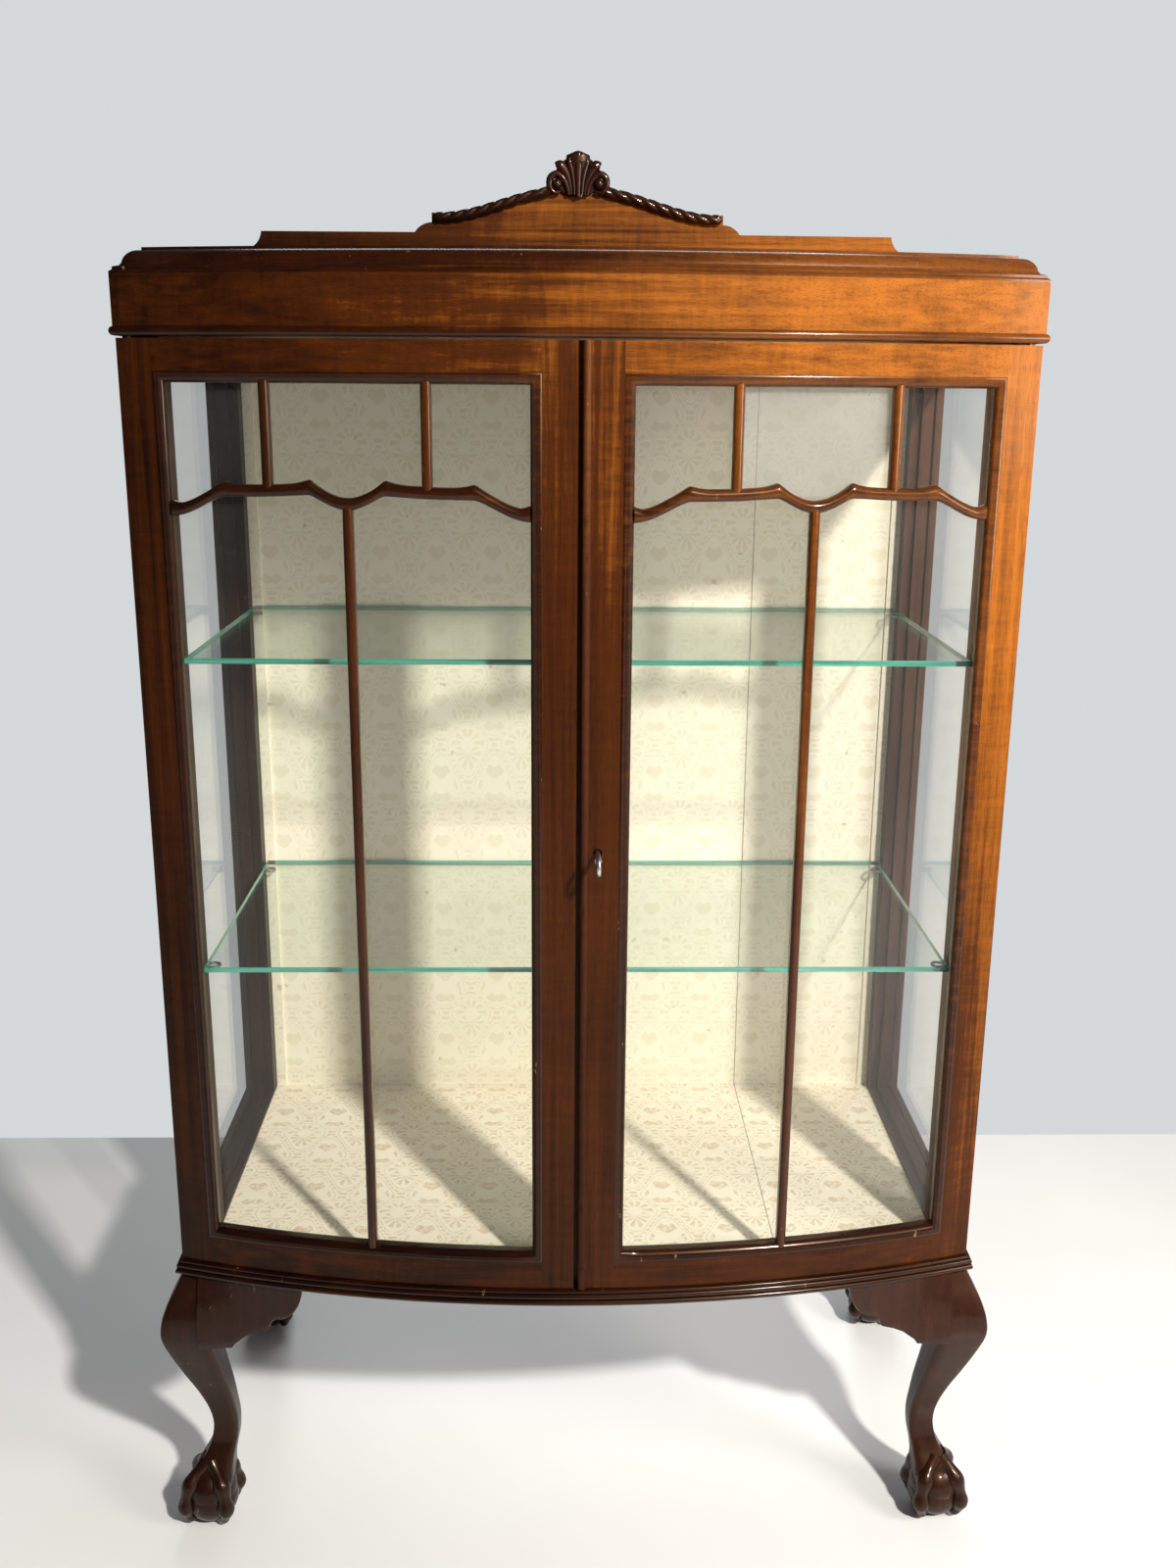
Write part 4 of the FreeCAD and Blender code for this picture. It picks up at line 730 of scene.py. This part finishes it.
# How far inside the carcass corner, and how far the outline hangs below the board.
BRACKET_DROPS = [(18, 88), (56, 88), (60, 82), (65, 78), (74, 71), (86, 66), (100, 62),
                 (103, 57), (105, 51), (110, 47)]
BRACKET_END = 143
BRACKET_BACK = -0.022


def bracket_outline():
    """The drops, then a rounded end."""
    outline = list(BRACKET_DROPS)
    start, drop = BRACKET_DROPS[-1]
    for step in range(1, 9):
        turn = math.pi / 2 * step / 8
        outline.append((start + (BRACKET_END - start) * math.sin(turn), drop * math.cos(turn) + 0.5))
    return outline


def knee_reach(level):
    """How far the leg's face stands out from the corner at a level, in millimetres."""
    for (high, high_out, _), (low, low_out, _) in zip(LEG_TEMPLATE, LEG_TEMPLATE[1:]):
        if low <= level <= high:
            return low_out + (high_out - low_out) * (level - low) / (high - low)
    return 0.0


def bracket_part(place):
    """One bracket, its face swelling out to meet the knee; place(inside, out, level) puts it."""
    rows = []
    levels = 12
    for inside, drop in bracket_outline():
        fading = max(0.0, 1 - (inside - 18) / 95) ** 1.7
        row = []
        for step in range(levels + 1):
            level = LEG_HEIGHT * 1000 - drop * step / levels
            out = 0.9 * knee_reach(level) * fading
            if step == levels:
                out -= 2.0
            row.append(place(inside / 1000, out / 1000, level / 1000))
        row.append(place(inside / 1000, BRACKET_BACK, (LEG_HEIGHT * 1000 - drop) / 1000))
        row.append(place(inside / 1000, BRACKET_BACK, LEG_HEIGHT))
        rows.append(row)
    return grid(rows)


def make_brackets():
    def front(inside, out, level):
        return Vector((HALF - inside, bow_y(HALF - inside, out), level))

    def side_front(inside, out, level):
        return Vector((HALF + out, CORNER_Y + inside, level))

    def side_rear(inside, out, level):
        return Vector((HALF + out, BACK - inside, level))

    right = [bracket_part(front), bracket_part(side_front), bracket_part(side_rear)]
    for side, word in ((1, "right"), (-1, "left")):
        points, faces = flipped(joined(right), side)
        piece = new_mesh(word + "_shaped_brackets", points, faces, "carcass", carved_wood, sharp=40)
        if side > 0:
            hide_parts("knee_brackets")


# ---------------------------------------------------------------- gallery carving


def make_ropes():
    """Twisted mouldings that climb to the shell."""
    depth = BOARD_FRONT - 0.0045
    knots = [Vector((x, depth, CORNICE_TOP + rise)) for x, rise in (
        (0.1765, 0.0670), (0.150, 0.0686), (0.123, 0.0740), (0.095, 0.0822), (0.067, 0.0905),
        (0.034, 0.0985))]
    path = smooth_path(knots, 30)

    def radius_at(along_rope, angle):
        strand = abs(math.cos(1.5 * angle + along_rope * 27))
        swell = math.sqrt(min(1.0, 0.04 + along_rope * 22))
        return (0.0042 + 0.0021 * strand ** 0.55) * swell

    part = tube(path, radius_at, 24, 0.85)
    for side, word in ((1, "right"), (-1, "left")):
        points, faces = flipped(part, side)
        piece = new_mesh(word + "_carved_rope", points, faces, "carcass", dark_carving)
        if side > 0:
            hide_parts("rope_mouldings")


def lobe(knots, widths, depth, rise):
    """One petal of the shell: a flattened tube through its knots."""
    path = smooth_path([Vector((x, depth, CORNICE_TOP + z)) for x, z in knots], 7)

    def radius_at(along_lobe, angle):
        place = along_lobe * (len(widths) - 1)
        index = min(int(place), len(widths) - 2)
        part = place - index
        return widths[index] * (1 - part) + widths[index + 1] * part

    return tube(path, radius_at, 18, rise)


def make_shell():
    """A palmette between two volutes with round eyes."""
    depth = BOARD_FRONT - 0.006
    fan = [(0, 0.092), (0, 0.106), (0, 0.120), (0, 0.131), (0, 0.139), (0, 0.1435)]
    parts = [lobe(fan, [0.0060, 0.0072, 0.0105, 0.0150, 0.0140, 0.0040], depth, 0.45)]
    parts.append(lobe(fan, [0.0022, 0.0026, 0.0034, 0.0042, 0.0036, 0.0010], depth - 0.0048, 0.45))
    for side in (1, -1):
        rib = [(0.0045, 0.094), (0.0055, 0.108), (0.0078, 0.121), (0.0105, 0.131), (0.0095, 0.137)]
        inner = [(0.008, 0.094), (0.0105, 0.108), (0.015, 0.119), (0.0215, 0.1265), (0.027, 0.125)]
        outer = [(0.011, 0.094), (0.0135, 0.104), (0.0185, 0.113), (0.0265, 0.1175), (0.0335, 0.113),
                 (0.0345, 0.104), (0.0290, 0.0965), (0.0215, 0.0975)]
        for knots, widths, out, rise in (
                (rib, [0.0016, 0.0020, 0.0028, 0.0032, 0.0010], 0.0038, 0.6),
                (inner, [0.0028, 0.0038, 0.0054, 0.0070, 0.0052], 0.0008, 0.75),
                (outer, [0.0024, 0.0032, 0.0040, 0.0044, 0.0044, 0.0038, 0.0030, 0.0018], 0.0012, 0.9)):
            placed = [(side * x, z) for x, z in knots]
            parts.append(lobe(placed, widths, depth - out, rise))
        eye = Vector((side * 0.0255, depth - 0.001, CORNICE_TOP + 0.1062))
        parts.append(ball(eye, 0.0062))
    backing = []
    for level in (BOARD_FRONT - 0.0055, BOARD_FRONT):
        row = []
        for step in range(48):
            turn = 2 * math.pi * step / 48
            row.append(Vector((0.028 * math.cos(turn), level,
                               CORNICE_TOP + 0.115 + 0.023 * math.sin(turn))))
        backing.append(row)
    parts.append(grid(backing))
    points, faces = joined(parts)
    piece = new_mesh("carved_palmette", points, faces, "carcass", dark_carving)
    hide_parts("shell_carving")


for door_side, door_word in ((1, "right"), (-1, "left")):
    make_door_mouldings(door_side, door_word)
    make_wavy_bar(door_side, door_word)
    make_upright_bars(door_side, door_word)
make_meeting_bead()
make_carcass_mouldings()
make_legs()
make_brackets()
make_ropes()
make_shell()

# ---------------------------------------------------------------- stage, light, camera


def make_plane(name, corners, material):
    mesh = bpy.data.meshes.new(name)
    mesh.from_pydata(corners, [], [(0, 1, 2, 3)])
    plane = bpy.data.objects.new(name, mesh)
    bpy.context.collection.objects.link(plane)
    mesh.materials.append(material)


FLOOR_BACK = 0.80
FLOOR_REACH = 9.0
make_plane("pale_floor", [(-FLOOR_REACH, -FLOOR_REACH, 0), (FLOOR_REACH, -FLOOR_REACH, 0),
                          (FLOOR_REACH, FLOOR_BACK, 0), (-FLOOR_REACH, FLOOR_BACK, 0)],
           plaster("floor_paint", (0.80, 0.80, 0.79), (0.86, 0.86, 0.85), 0.35))


def make_light(name, place, target, size, power, colour=(1, 1, 1)):
    lamp = bpy.data.lights.new(name, "AREA")
    lamp.size = size
    lamp.energy = power
    lamp.color = colour
    holder = bpy.data.objects.new(name, lamp)
    holder.location = place
    holder.rotation_euler = (Vector(target) - Vector(place)).to_track_quat("-Z", "Y").to_euler()
    bpy.context.collection.objects.link(holder)


def make_world():
    """Soft light from the right; the camera sees a plain pale background beyond the floor."""
    world = bpy.data.worlds.new("soft_world")
    world.use_nodes = True
    sky = world.node_tree
    direction = sky.nodes.new("ShaderNodeTexCoord")
    parts_of_direction = sky.nodes.new("ShaderNodeSeparateXYZ")
    shades = sky.nodes.new("ShaderNodeValToRGB")
    sky.links.new(direction.outputs["Generated"], parts_of_direction.inputs[0])
    shades.color_ramp.elements[0].position = 0.0
    shades.color_ramp.elements[0].color = (0.07, 0.07, 0.075, 1.0)
    shades.color_ramp.elements[1].position = 0.9
    shades.color_ramp.elements[1].color = (0.60, 0.60, 0.60, 1.0)
    sky.links.new(parts_of_direction.outputs[0], shades.inputs[0])
    sky.links.new(shades.outputs[0], sky.nodes["Background"].inputs[0])
    sky.nodes["Background"].inputs[1].default_value = 0.7
    seen = sky.nodes.new("ShaderNodeBackground")
    seen.inputs[0].default_value = (0.66, 0.69, 0.71, 1.0)
    seen.inputs[1].default_value = 1.0
    choice = sky.nodes.new("ShaderNodeMixShader")
    sky.links.new(sky.nodes.new("ShaderNodeLightPath").outputs["Is Camera Ray"], choice.inputs[0])
    sky.links.new(sky.nodes["Background"].outputs[0], choice.inputs[1])
    sky.links.new(seen.outputs[0], choice.inputs[2])
    sky.links.new(choice.outputs[0], sky.nodes["World Output"].inputs[0])
    bpy.context.scene.world = world


make_light("key_light", (1.55, -2.8, 3.0), (0, 0, 0.8), 0.2, 205, (1.0, 0.96, 0.90))
make_light("side_light", (2.0, -1.2, 1.5), (0.2, 0, 0.9), 0.7, 26, (1.0, 0.95, 0.88))
make_light("back_light", (0.0, 2.6, 2.6), (0, 0, 0.9), 2.0, 45, (0.96, 0.98, 1.0))
make_world()
bpy.context.scene.view_settings.view_transform = "Standard"

# The camera: its place, and the turn, tilt and roll of its line of sight in radians.
EYE = Vector((-0.0262, -1.6878, 1.3591))
TURN, TILT, ROLL = 0.023, -0.266, 0.008
ahead = Vector((math.sin(TURN) * math.cos(TILT), math.cos(TURN) * math.cos(TILT), math.sin(TILT)))
level_right = Vector((math.cos(TURN), -math.sin(TURN), 0))
level_up = level_right.cross(ahead)
right = math.cos(ROLL) * level_right + math.sin(ROLL) * level_up
up = -math.sin(ROLL) * level_right + math.cos(ROLL) * level_up
camera_data = bpy.data.cameras.new("camera")
camera_data.sensor_width = 36
camera_data.lens = 33.93
camera_data.clip_start = 0.05
camera = bpy.data.objects.new("camera", camera_data)
camera.matrix_world = Matrix((
    (right.x, up.x, -ahead.x, EYE.x), (right.y, up.y, -ahead.y, EYE.y),
    (right.z, up.z, -ahead.z, EYE.z), (0, 0, 0, 1)))
bpy.context.collection.objects.link(camera)
bpy.context.scene.camera = camera
